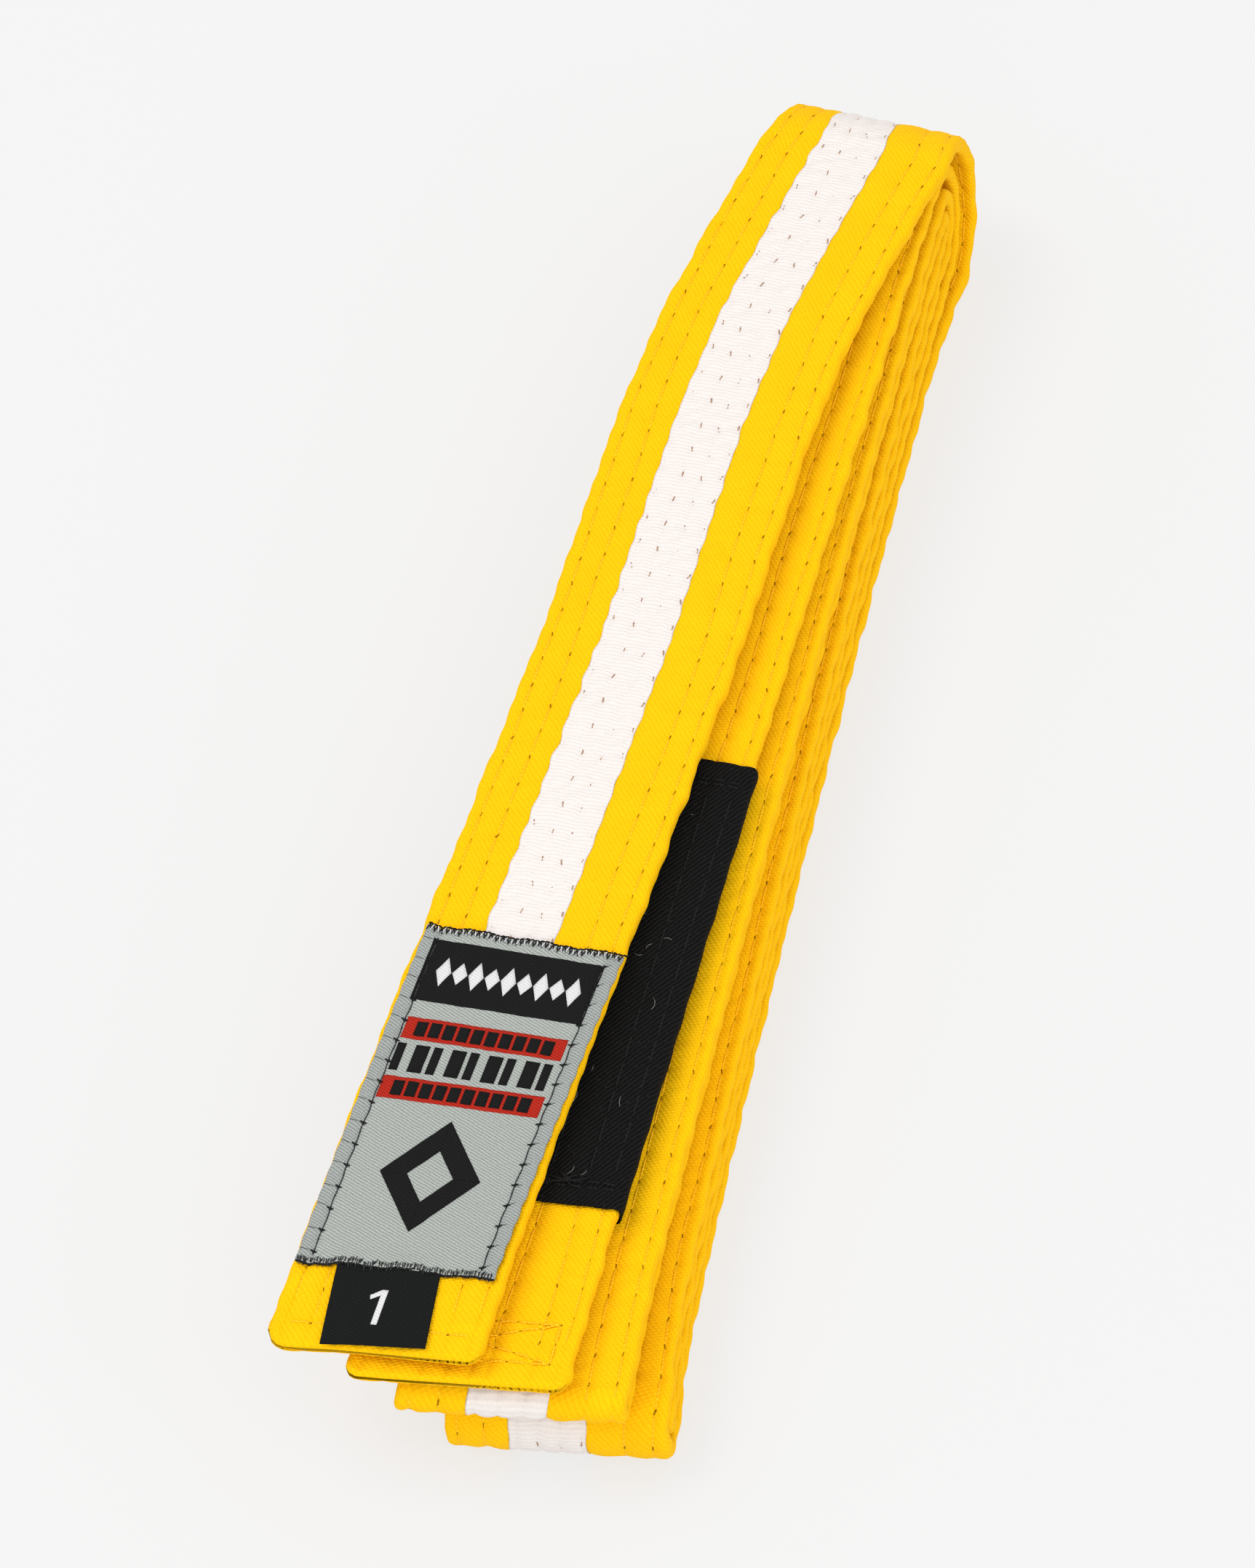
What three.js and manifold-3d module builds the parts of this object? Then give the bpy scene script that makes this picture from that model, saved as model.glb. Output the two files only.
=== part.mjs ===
// A coloured martial arts belt, folded in half three times and laid flat as an eight-layer bundle.
// Millimetres, +Z up, +Y along the bundle, near end (both belt ends) at low Y.
// Every strip is a profile in (u, v) swept along the folded centre line:
// u runs across the belt, v through its thickness, and +v is the face that carries the white stripe.
import * as THREE from "three";
import Module from "manifold-3d";

const wasm = await Module();
wasm.setup();

// ---- driving sizes ----
const BELT_WIDTH = 38;
const BELT_THICKNESS = 4;
const FOLDED_LENGTH = 317; // from the cut ends to the far turns
const STRIPE_WIDTH = 12.6;
const STRIPE_OFFSET = -0.8; // the stripe sits a little off the belt's middle
const STRIPE_THICKNESS = 0.35;
const LABEL_WIDTH = 36.4;
const LABEL_LENGTH = 74;
const LABEL_FROM_END = 16.4;
const LABEL_THICKNESS = 0.5;
const LABEL_FOLD_WIDTH = 1.4; // the label's side edges are folded under, so they are thicker
const LABEL_FOLD_RISE = 0.4;
const TAG_WIDTH = 18.6;
const TAG_OFFSET = -1;
const TAG_THICKNESS = 0.5;
const TAG_OVERHANG = 0.4; // past the belt's end
const SLEEVE_LENGTH = 104;
const SLEEVE_FROM_END = 39;
const SLEEVE_THICKNESS = 0.7;
const THREAD = 0.35; // thickness of a sewing thread
const OVERLOCK_WIDTH = 1.1;
const LABEL_STITCH_PITCH = 4.6;
const LABEL_STITCH_INSET = 2.3; // from the label's edge to its seam
const BOX_STITCH_WIDTH = 30;
const BOX_STITCH_LENGTH = 8;
const BOX_STITCH_FROM_END = 5;

// ---- cloth sizes inside the belt ----
const STRIPE_SIDE_WALL = 0.9; // cover thickness on the striped face
const PLAIN_SIDE_WALL = 0.6;
const EDGE_WALL = 1;
const EDGE_ROUND = 0.425 * BELT_THICKNESS;
const TUCK_THICKNESS = 0.8;
const TUCK_DEPTH = 6;

// ---- clearances ----
const LAYER_GAP = 0.3; // between two layers of the bundle
const CORE_GAP = 0.2;
const STRIPE_GAP = 0.15;
const CLOTH_GAP = 0.2; // under the label, tag and threads
const SLEEVE_GAP = 0.25;
const SPLIT_GAP = 0.3; // between the two sides of a bend line

// ---- where the bundle bends when its pages are lifted ----
const BEND_BEFORE_TURN = 30; // the top page's bend line, from the far turns' centre
const BEND_STEP = 6; // each lower page bends this much nearer its free end
const TURN_STEPS = 12;
const LONG_STEPS = 7;

const HALF_WIDTH = BELT_WIDTH / 2;
const HALF_THICKNESS = BELT_THICKNESS / 2;
const PITCH = BELT_THICKNESS + LAYER_GAP;
const SLEEVE_RISE = SLEEVE_GAP + SLEEVE_THICKNESS;
const SLEEVE_ROOM_BELOW = SLEEVE_RISE + 0.05;
const SLEEVE_ROOM_ABOVE = SLEEVE_RISE + CLOTH_GAP + THREAD + 0.1;

// Layer 1 is the top page, with end A; layer 2 has end B; layer 8 lies on the table.
// near and far are the layer's sideways place at its two ends, and bow is how far its middle swings out.
const LAYERS = {
  1: { near: -31.5, far: -7, bow: -2.5 },
  2: { near: -16, far: -5.5, bow: -0.5 },
  3: { near: -6.2, far: -4.5, bow: -1 },
  4: { near: -6.2, far: -4, bow: -1.5 },
  5: { near: -0.6, far: -3.5, bow: -1.5 },
  6: { near: -0.3, far: -3, bow: -1.5 },
  7: { near: 0.3, far: -2, bow: -2 },
  8: { near: 0.6, far: -1, bow: -2 },
};
for (let n = 8; n >= 3; n--) {
  LAYERS[n].z = HALF_THICKNESS + (8 - n) * PITCH;
}
LAYERS[2].z = LAYERS[3].z + PITCH + SLEEVE_ROOM_BELOW;
LAYERS[1].z = LAYERS[2].z + PITCH + SLEEVE_ROOM_ABOVE;

const OUTER_TURN_RADIUS = (LAYERS[1].z - LAYERS[8].z) / 2;
const BASE_FOLD_RADIUS = (LAYERS[5].z - LAYERS[8].z) / 2;
const MIDDLE_FOLD_RADIUS = (LAYERS[3].z - LAYERS[4].z) / 2;
const FAR_CENTRE_Y = FOLDED_LENGTH - OUTER_TURN_RADIUS - HALF_THICKNESS;
const BASE_FOLD_Y = BASE_FOLD_RADIUS + HALF_THICKNESS + 1.5;
const MIDDLE_FOLD_Y = MIDDLE_FOLD_RADIUS + HALF_THICKNESS + 0.2;
const BEND_Y_1 = FAR_CENTRE_Y - BEND_BEFORE_TURN;
const BEND_Y_2 = BEND_Y_1 - BEND_STEP;
const BEND_Y_3 = BEND_Y_2 - BEND_STEP;

// ---- the folded centre line ----

// Sideways place of a layer's middle at height y along the bundle.
function layerX(layer, y) {
  const { near, far, bow } = LAYERS[layer];
  const t = y / FAR_CENTRE_Y;
  return near + (far - near) * t + 4 * bow * t * (1 - t);
}

// A station holds the centre point (x, y, z) and the direction (ny, nz) of +v there.
function station(x, y, z, ny, nz) {
  return { x, y, z, ny, nz };
}

// Stations along one layer; odd layers run toward the near end with their stripe up.
function along(layer, fromY, toY, steps = LONG_STEPS) {
  const side = toY < fromY ? 1 : -1;
  const list = [];
  for (let i = 0; i <= steps; i++) {
    const y = fromY + ((toY - fromY) * i) / steps;
    list.push(station(layerX(layer, y), y, LAYERS[layer].z, 0, side));
  }
  return list;
}

// Stations round a turn from one layer to another, without its two ends.
function turn(from, to, centreY) {
  const centreZ = (LAYERS[from].z + LAYERS[to].z) / 2;
  const radius = (LAYERS[to].z - LAYERS[from].z) / 2;
  const way = centreY > FOLDED_LENGTH / 2 ? 1 : -1;
  const facing = Math.sign(radius) * way;
  const list = [];
  for (let i = 1; i < TURN_STEPS; i++) {
    const t = i / TURN_STEPS;
    const angle = Math.PI * (t - 0.5);
    const blend = t * t * (3 - 2 * t);
    const x = layerX(from, centreY) * (1 - blend) + layerX(to, centreY) * blend;
    const y = centreY + way * Math.abs(radius) * Math.cos(angle);
    const z = centreZ + radius * Math.sin(angle);
    const ny = facing * way * Math.cos(angle);
    const nz = facing * Math.sign(radius) * Math.sin(angle);
    list.push(station(x, y, z, ny, nz));
  }
  return list;
}

// Sweeps a (u, v) shape through the stations.
function sweep(shape, stations) {
  const steps = stations.length - 1;
  const geometry = new THREE.ExtrudeGeometry(shape, {
    depth: steps,
    steps,
    bevelEnabled: false,
    curveSegments: 3,
  });
  const p = geometry.getAttribute("position");
  for (let i = 0; i < p.count; i++) {
    const at = stations[Math.round(p.getZ(i))];
    const u = p.getX(i);
    const v = p.getY(i);
    p.setXYZ(i, at.x + u, at.y + v * at.ny, at.z + v * at.nz);
  }
  return geometry;
}

// ---- profiles ----

function box(uLow, uHigh, vLow, vHigh) {
  const shape = new THREE.Shape();
  shape.moveTo(uLow, vLow);
  shape.lineTo(uHigh, vLow);
  shape.lineTo(uHigh, vHigh);
  shape.lineTo(uLow, vHigh);
  shape.closePath();
  return shape;
}

// The outline of the belt, grown by grow on every side; groove cuts the stripe's seat into +v.
function beltOutline(grow, groove) {
  const w = HALF_WIDTH + grow;
  const t = HALF_THICKNESS + grow;
  const r = EDGE_ROUND + grow * 0.8;
  const shape = new THREE.Shape();
  shape.moveTo(-w + r, -t);
  shape.lineTo(w - r, -t);
  shape.absarc(w - r, -t + r, r, -Math.PI / 2, 0, false);
  shape.absarc(w - r, t - r, r, 0, Math.PI / 2, false);
  if (groove) {
    const edge = STRIPE_WIDTH / 2 + STRIPE_GAP;
    const floor = t - STRIPE_THICKNESS - STRIPE_GAP;
    shape.lineTo(STRIPE_OFFSET + edge, t);
    shape.lineTo(STRIPE_OFFSET + edge, floor);
    shape.lineTo(STRIPE_OFFSET - edge, floor);
    shape.lineTo(STRIPE_OFFSET - edge, t);
  }
  shape.lineTo(-w + r, t);
  shape.absarc(-w + r, t - r, r, Math.PI / 2, Math.PI, false);
  shape.absarc(-w + r, -t + r, r, Math.PI, Math.PI * 1.5, false);
  return shape;
}

const HOLLOW = {
  half: HALF_WIDTH - EDGE_WALL,
  low: -HALF_THICKNESS + PLAIN_SIDE_WALL,
  high: HALF_THICKNESS - STRIPE_SIDE_WALL,
};
const coverProfile = beltOutline(0, true);
coverProfile.holes.push(box(-HOLLOW.half, HOLLOW.half, HOLLOW.low, HOLLOW.high));

const coreProfile = box(
  -HOLLOW.half + CORE_GAP,
  HOLLOW.half - CORE_GAP,
  HOLLOW.low + CORE_GAP,
  HOLLOW.high - CORE_GAP,
);
const stripeProfile = box(
  STRIPE_OFFSET - STRIPE_WIDTH / 2,
  STRIPE_OFFSET + STRIPE_WIDTH / 2,
  HALF_THICKNESS - STRIPE_THICKNESS,
  HALF_THICKNESS,
);
const sleeveProfile = beltOutline(SLEEVE_RISE, false);
sleeveProfile.holes.push(beltOutline(SLEEVE_GAP, false));

// The label's profile, with its two folded side edges standing higher.
function labelProfile() {
  const low = HALF_THICKNESS + CLOTH_GAP;
  const flat = low + LABEL_THICKNESS;
  const fold = flat + LABEL_FOLD_RISE;
  const half = LABEL_WIDTH / 2;
  const inner = half - LABEL_FOLD_WIDTH;
  const shape = new THREE.Shape();
  shape.moveTo(-half, low);
  shape.lineTo(half, low);
  shape.lineTo(half, fold);
  shape.lineTo(inner, fold);
  shape.lineTo(inner - LABEL_FOLD_RISE, flat);
  shape.lineTo(-inner + LABEL_FOLD_RISE, flat);
  shape.lineTo(-inner, fold);
  shape.lineTo(-half, fold);
  shape.closePath();
  return shape;
}

// ---- the parts ----

const part = new THREE.Group();
part.name = "martial_arts_belt";

const LOOKS = {
  twill: { color: 0xffd000, roughness: 0.85, metalness: 0 },
  batting: { color: 0xf1ead8, roughness: 0.95, metalness: 0 },
  tape: { color: 0xf6f1ec, roughness: 0.85, metalness: 0 },
  sleeve: { color: 0x1c1c1e, roughness: 0.8, metalness: 0 },
  label: { color: 0xb9beb9, roughness: 0.75, metalness: 0 },
  tag: { color: 0x18181a, roughness: 0.7, metalness: 0 },
  blackThread: { color: 0x202022, roughness: 0.6, metalness: 0 },
  yellowThread: { color: 0xf2c81a, roughness: 0.6, metalness: 0 },
};

function add(name, look, geometry) {
  const mesh = new THREE.Mesh(geometry, new THREE.MeshStandardMaterial(LOOKS[look]));
  mesh.name = name;
  part.add(mesh);
}

// Cover, core and stripe share one run of the centre line.
function addRun(name, stations, coreStations = stations) {
  add("cover_" + name, "twill", sweep(coverProfile, stations));
  add("core_" + name, "batting", sweep(coreProfile, coreStations));
  add("stripe_" + name, "tape", sweep(stripeProfile, stations));
}

const HALF_SPLIT = SPLIT_GAP / 2;
const MOUTH_Y = TUCK_THICKNESS + CORE_GAP; // where the cover starts behind its tucked end
const CORE_END_Y = TUCK_THICKNESS + TUCK_DEPTH + CORE_GAP;

addRun(
  "end_b",
  along(2, MOUTH_Y, BEND_Y_2 - HALF_SPLIT),
  along(2, CORE_END_Y, BEND_Y_2 - HALF_SPLIT),
);
addRun("middle_run", [
  ...along(2, BEND_Y_2 + HALF_SPLIT, FAR_CENTRE_Y, 2),
  ...turn(2, 7, FAR_CENTRE_Y),
  ...along(7, FAR_CENTRE_Y, BASE_FOLD_Y),
  ...turn(7, 6, BASE_FOLD_Y),
  ...along(6, BASE_FOLD_Y, FAR_CENTRE_Y),
  ...turn(6, 3, FAR_CENTRE_Y),
  ...along(3, FAR_CENTRE_Y, BEND_Y_3 + HALF_SPLIT, 2),
]);
addRun("middle_fold", [
  ...along(3, BEND_Y_3 - HALF_SPLIT, MIDDLE_FOLD_Y),
  ...turn(3, 4, MIDDLE_FOLD_Y),
  ...along(4, MIDDLE_FOLD_Y, BEND_Y_3 - HALF_SPLIT),
]);
addRun("lower_run", [
  ...along(4, BEND_Y_3 + HALF_SPLIT, FAR_CENTRE_Y, 2),
  ...turn(4, 5, FAR_CENTRE_Y),
  ...along(5, FAR_CENTRE_Y, BASE_FOLD_Y),
  ...turn(5, 8, BASE_FOLD_Y),
  ...along(8, BASE_FOLD_Y, FAR_CENTRE_Y),
  ...turn(8, 1, FAR_CENTRE_Y),
  ...along(1, FAR_CENTRE_Y, BEND_Y_1 + HALF_SPLIT, 2),
]);
addRun(
  "end_a",
  along(1, BEND_Y_1 - HALF_SPLIT, MOUTH_Y),
  along(1, BEND_Y_1 - HALF_SPLIT, CORE_END_Y),
);

// The cloth folded into the mouth at each end: a lip across the mouth and a tongue inside it.
function tuck(layer) {
  const tip = TUCK_THICKNESS + TUCK_DEPTH;
  const low = HOLLOW.low + CORE_GAP;
  const high = HOLLOW.high - CORE_GAP;
  const profile = new THREE.Shape();
  profile.moveTo(0, -HALF_THICKNESS);
  profile.lineTo(TUCK_THICKNESS, -HALF_THICKNESS);
  profile.lineTo(TUCK_THICKNESS, low);
  profile.lineTo(tip, low);
  profile.lineTo(tip, high);
  profile.lineTo(TUCK_THICKNESS, high);
  profile.lineTo(TUCK_THICKNESS, HALF_THICKNESS);
  profile.lineTo(0, HALF_THICKNESS);
  profile.closePath();
  const width = 2 * (HOLLOW.half - CORE_GAP);
  const geometry = new THREE.ExtrudeGeometry(profile, { depth: width, bevelEnabled: false });
  geometry.translate(0, 0, -width / 2);
  // The profile's x becomes Y, its y becomes Z, and the extrusion runs along X.
  geometry.applyMatrix4(new THREE.Matrix4().set(0, 0, 1, 0, 1, 0, 0, 0, 0, 1, 0, 0, 0, 0, 0, 1));
  if (layer === 2) {
    geometry.rotateY(Math.PI);
  }
  const p = geometry.getAttribute("position");
  for (let i = 0; i < p.count; i++) {
    const y = p.getY(i);
    p.setXYZ(i, p.getX(i) + layerX(layer, y), y, p.getZ(i) + LAYERS[layer].z);
  }
  return geometry;
}
add("end_a_tuck", "twill", tuck(1));
add("end_b_tuck", "twill", tuck(2));

// ---- what is sewn on end A ----

const LABEL_TOP_Y = LABEL_FROM_END + LABEL_LENGTH;
const LABEL_FACE = HALF_THICKNESS + CLOTH_GAP + LABEL_THICKNESS;
add("woven_label", "label", sweep(labelProfile(), along(1, LABEL_TOP_Y, LABEL_FROM_END, 4)));

// A bar of thread lying across the top of a layer, its underside rise above the layer's middle.
function crossBar(layer, y, width, rise, length = THREAD) {
  const bar = new THREE.BoxGeometry(width, length, THREAD);
  bar.translate(layerX(layer, y), y, LAYERS[layer].z + rise + THREAD / 2);
  return bar;
}
add(
  "label_overlock",
  "blackThread",
  crossBar(1, LABEL_TOP_Y + 0.8, LABEL_WIDTH - 1, HALF_THICKNESS + CLOTH_GAP, OVERLOCK_WIDTH),
);
add(
  "label_bottom_stitch",
  "blackThread",
  crossBar(1, LABEL_FROM_END + 1.5, LABEL_WIDTH - 6, LABEL_FACE + CLOTH_GAP),
);

// A running thread along the label: it stands clear over each stitch and dips between two.
function runningThread(offset) {
  const fromY = LABEL_TOP_Y - 2;
  const count = Math.round((LABEL_LENGTH - 4) / LABEL_STITCH_PITCH);
  const dip = CLOTH_GAP / 2;
  const stations = along(1, fromY, LABEL_FROM_END + 2, count * 4);
  stations.forEach((at, i) => {
    if (i % 4 === 0) {
      at.z -= dip;
    }
  });
  const low = LABEL_FACE + CLOTH_GAP;
  const half = THREAD / 2;
  return sweep(box(offset - half, offset + half, low, low + THREAD), stations);
}
const LABEL_SEAM = LABEL_WIDTH / 2 - LABEL_STITCH_INSET;
add("label_stitch_left", "blackThread", runningThread(-LABEL_SEAM));
add("label_stitch_right", "blackThread", runningThread(LABEL_SEAM));

// The size tag hangs from under the label and reaches just past the belt's end.
const TAG_TOP_Y = LABEL_FROM_END - 2 * CLOTH_GAP;
const TAG_LOW = HALF_THICKNESS + CLOTH_GAP + 0.1;
const tagProfile = box(
  TAG_OFFSET - TAG_WIDTH / 2,
  TAG_OFFSET + TAG_WIDTH / 2,
  TAG_LOW,
  TAG_LOW + TAG_THICKNESS,
);
add("size_tag", "tag", sweep(tagProfile, along(1, TAG_TOP_Y, -TAG_OVERHANG, 2)));

// ---- what is sewn on end B ----

const SLEEVE_END_Y = SLEEVE_FROM_END + SLEEVE_LENGTH;
add("rank_sleeve", "sleeve", sweep(sleeveProfile, along(2, SLEEVE_FROM_END, SLEEVE_END_Y, 5)));
const SLEEVE_FACE = HALF_THICKNESS + SLEEVE_RISE;
for (const [name, y] of [
  ["sleeve_stitch_near", SLEEVE_FROM_END + 4],
  ["sleeve_stitch_far", SLEEVE_END_Y - 4],
]) {
  add(name, "blackThread", crossBar(2, y, BELT_WIDTH - 2 * EDGE_ROUND, SLEEVE_FACE + CLOTH_GAP));
}

// The box stitch that closes end B: four sides and two diagonals of one thread.
function solidOf(geometry) {
  const flat = geometry.index ? geometry.toNonIndexed() : geometry;
  const position = flat.getAttribute("position");
  const mesh = new wasm.Mesh({
    numProp: 3,
    vertProperties: new Float32Array(position.array),
    triVerts: Uint32Array.from({ length: position.count }, (_, i) => i),
  });
  mesh.merge();
  return new wasm.Manifold(mesh);
}

function geometryOf(solid) {
  const mesh = solid.getMesh();
  const geometry = new THREE.BufferGeometry();
  geometry.setAttribute("position", new THREE.BufferAttribute(mesh.vertProperties, mesh.numProp));
  geometry.setIndex(new THREE.BufferAttribute(mesh.triVerts, 1));
  return geometry;
}

function threadBetween(x0, y0, x1, y1) {
  const bar = new THREE.BoxGeometry(Math.hypot(x1 - x0, y1 - y0) + THREAD, THREAD, THREAD);
  bar.rotateZ(Math.atan2(y1 - y0, x1 - x0));
  bar.translate((x0 + x1) / 2, (y0 + y1) / 2, 0);
  return solidOf(bar);
}

function boxStitch() {
  const half = BOX_STITCH_WIDTH / 2;
  const low = BOX_STITCH_FROM_END;
  const high = low + BOX_STITCH_LENGTH;
  const corners = [
    [-half, low],
    [half, low],
    [half, high],
    [-half, high],
  ];
  let solid = threadBetween(...corners[0], ...corners[2]).add(
    threadBetween(...corners[1], ...corners[3]),
  );
  corners.forEach((corner, i) => {
    solid = solid.add(threadBetween(...corner, ...corners[(i + 1) % 4]));
  });
  const z = LAYERS[2].z + HALF_THICKNESS + CLOTH_GAP + THREAD / 2;
  return geometryOf(solid.translate([layerX(2, (low + high) / 2), 0, z]));
}
add("end_b_box_stitch", "yellowThread", boxStitch());

// ---- origin: the middle of the bundle's underside ----
const bounds = new THREE.Box3().setFromObject(part);
part.position.set(
  -(bounds.min.x + bounds.max.x) / 2,
  -(bounds.min.y + bounds.max.y) / 2,
  -bounds.min.z,
);

export default part;
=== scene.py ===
# %% [markdown]
# # A coloured martial arts belt, folded into a bundle
# The belt is one long strip: a cotton twill cover sewn flat round cotton batting, with a white tape
# down one face. It is folded in half three times, so eight layers lie on each other.
# The imported CAD part is the fixed frame. Each visible piece below is built on the same folded centre
# line and stands for the plain CAD solids; the pieces on the pages' runs keep their places, and the
# other pieces ride on a CAD body.

import math

import bpy
import numpy as np
from mathutils import Matrix, Vector


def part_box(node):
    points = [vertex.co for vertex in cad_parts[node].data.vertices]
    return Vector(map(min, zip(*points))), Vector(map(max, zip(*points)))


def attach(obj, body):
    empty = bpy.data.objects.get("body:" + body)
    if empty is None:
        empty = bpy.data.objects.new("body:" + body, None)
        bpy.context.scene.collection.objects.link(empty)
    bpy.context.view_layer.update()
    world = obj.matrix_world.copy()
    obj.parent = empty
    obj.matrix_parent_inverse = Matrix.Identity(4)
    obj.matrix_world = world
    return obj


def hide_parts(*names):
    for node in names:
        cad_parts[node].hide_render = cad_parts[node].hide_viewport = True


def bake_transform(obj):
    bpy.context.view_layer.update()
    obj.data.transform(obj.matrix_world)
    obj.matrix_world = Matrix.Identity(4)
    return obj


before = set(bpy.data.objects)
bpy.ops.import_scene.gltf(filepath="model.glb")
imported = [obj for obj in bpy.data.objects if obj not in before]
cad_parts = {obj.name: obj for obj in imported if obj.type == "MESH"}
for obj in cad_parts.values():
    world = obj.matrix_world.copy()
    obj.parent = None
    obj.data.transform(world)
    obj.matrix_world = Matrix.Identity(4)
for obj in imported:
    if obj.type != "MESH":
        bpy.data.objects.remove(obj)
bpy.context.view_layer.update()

# %% [markdown]
# ## Where things are
# Lengths are written in millimetres, as a sewing pattern is, and turned to metres when a mesh is made.
# Heights and lengths come from the CAD boxes. Each layer's sideways path repeats the CAD's own three
# numbers: its place at the near end, at the far turns, and how far its middle bows out.

# %% The folded layers
MM = 0.001
BELT_WIDTH = 38.0
HALF_WIDTH = BELT_WIDTH / 2
HALF_THICKNESS = 2.0
SIDEWAYS = {
    1: (-31.5, -7.0, -2.5),
    2: (-16.0, -5.5, -0.5),
    3: (-6.2, -4.5, -1.0),
    4: (-6.2, -4.0, -1.5),
    5: (-0.6, -3.5, -1.5),
    6: (-0.3, -3.0, -1.5),
    7: (0.3, -2.0, -2.0),
    8: (0.6, -1.0, -2.0),
}


# How the near end of each layer lies: shifted in mm, skewed in mm per mm across, and
# bulging at its left and right edges in mm.
NEAR_END = {
    1: (-1.2, 0.085, 0.0, 0.0),
    2: (-1.5, 0.13, 0.8, 0.0),
    3: (-1.2, 0.15, 2.2, 0.9),
    4: (-1.2, 0.15, 2.2, 0.9),
    5: (1.0, 0.14, 0.2, 2.0),
    6: (1.0, 0.14, 0.2, 2.0),
    7: (1.0, 0.14, 0.2, 2.0),
    8: (1.0, 0.14, 0.2, 2.0),
}


def box_mm(node):
    low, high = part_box(node)
    return np.array(low) / MM, np.array(high) / MM


middle_low, middle_high = box_mm("cover_middle_fold")
layer_z = {
    1: sum(box_mm("cover_end_a"))[2] / 2,
    2: sum(box_mm("cover_end_b"))[2] / 2,
    3: middle_high[2] - HALF_THICKNESS,
    4: middle_low[2] + HALF_THICKNESS,
}
PITCH = layer_z[3] - layer_z[4]
for layer in (5, 6, 7, 8):
    layer_z[layer] = layer_z[4] - PITCH * (layer - 4)

outer_radius = (layer_z[1] - layer_z[8]) / 2
base_radius = (layer_z[5] - layer_z[8]) / 2
row_y0 = box_mm("end_a_tuck")[0][1]  # the cut ends, in the row's frame
far_y = box_mm("cover_lower_run")[1][1] - row_y0 - outer_radius - HALF_THICKNESS
base_fold_y = box_mm("cover_lower_run")[0][1] - row_y0 + base_radius + HALF_THICKNESS
middle_fold_y = middle_low[1] - row_y0 + PITCH / 2 + HALF_THICKNESS


def layer_x(layer, y):
    near, far, bow = SIDEWAYS[layer]
    t = y / far_y
    return near + (far - near) * t + 4 * bow * t * (1 - t)


cover_low = box_mm("cover_end_a")[0]
row_x0 = cover_low[0] - (layer_x(1, cover_low[1] - row_y0) - HALF_WIDTH)
print("layer heights, mm:", {k: round(float(v), 2) for k, v in layer_z.items()})
print("far turns' centre, mm from the cut ends:", round(float(far_y), 2))

# %% [markdown]
# ## The folded centre line
# One list of stations, about a millimetre apart, follows the belt from end B to end A. A station holds
# its centre, the direction in which the striped face looks, and its distance along the belt. Every
# strip, seam and stitch is first thought of flat, as (distance along, place across, height), and is then
# put on the bundle by the same rule. Only the small shifts, bulges and wander of the pages, in the
# tables here, were given one by one.

# %% Stations along the belt
STEP = 0.8
FAR_PINCH_MM = 3.2  # how far the left edge is drawn in as it goes round the far turns


def rows_of(layer, x, y, z, ny, nz, is_run):
    """Station rows: centre, facing, the near end's shift and skew, and the layer (0 in a turn)."""
    shift, skew, left, right = NEAR_END[layer]
    near = np.exp(-((np.maximum(y, 0) / 58.0) ** 2))
    far = np.clip((y - far_y + 26.0) / 26.0, 0, 1) ** 2
    one = np.ones_like(y)
    bulge = np.exp(-((np.maximum(y - 2, 0) / 17.0) ** 2))
    pinch = FAR_PINCH_MM * np.clip((y - far_y + 6.0) / 16.0, 0, 1) ** 1.5
    shift, skew = shift * near - 1.5 * far, skew * near - 0.06 * far
    columns = [x, y, z, ny, nz, shift, skew, left * bulge - pinch, right * bulge, layer * is_run]
    return np.stack([column * one for column in columns], 1)


def run_stations(layer, from_y, to_y):
    count = max(2, int(abs(to_y - from_y) / STEP))
    y = np.linspace(from_y, to_y, count, endpoint=False)
    side = 1.0 if to_y < from_y else -1.0
    return rows_of(layer, layer_x(layer, y), y, layer_z[layer], 0.0, side, 1)


def turn_stations(start, stop, centre_y):
    centre_z = (layer_z[start] + layer_z[stop]) / 2
    radius = (layer_z[stop] - layer_z[start]) / 2
    way = 1.0 if centre_y > far_y / 2 else -1.0
    facing = np.sign(radius) * way
    count = max(14, int(math.pi * abs(radius) / STEP))
    t = np.arange(count) / count
    angle = math.pi * (t - 0.5)
    blend = t * t * (3 - 2 * t)
    x = layer_x(start, centre_y) * (1 - blend) + layer_x(stop, centre_y) * blend
    y = centre_y + way * abs(radius) * np.cos(angle)
    z = centre_z + radius * np.sin(angle)
    ny = facing * way * np.cos(angle)
    nz = facing * np.sign(radius) * np.sin(angle)
    return rows_of(start, x, y, z, ny, nz, 0)


SPARE = 4.0  # mm of path past each cut end, for corners that reach past it
stations = np.concatenate(
    [
        run_stations(2, -SPARE, far_y),
        turn_stations(2, 7, far_y),
        run_stations(7, far_y, base_fold_y),
        turn_stations(7, 6, base_fold_y),
        run_stations(6, base_fold_y, far_y),
        turn_stations(6, 3, far_y),
        run_stations(3, far_y, middle_fold_y),
        turn_stations(3, 4, middle_fold_y),
        run_stations(4, middle_fold_y, far_y),
        turn_stations(4, 5, far_y),
        run_stations(5, far_y, base_fold_y),
        turn_stations(5, 8, base_fold_y),
        run_stations(8, base_fold_y, far_y),
        turn_stations(8, 1, far_y),
        run_stations(1, far_y, -SPARE),
    ]
)
steps_yz = np.hypot(np.diff(stations[:, 1]), np.diff(stations[:, 2]))
along = np.concatenate([[0.0], np.cumsum(steps_yz)]) - SPARE
BELT_LENGTH = along[-1] + stations[-1, 1]
print("belt length, m:", round(BELT_LENGTH * MM, 3), "stations:", len(stations))


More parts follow.
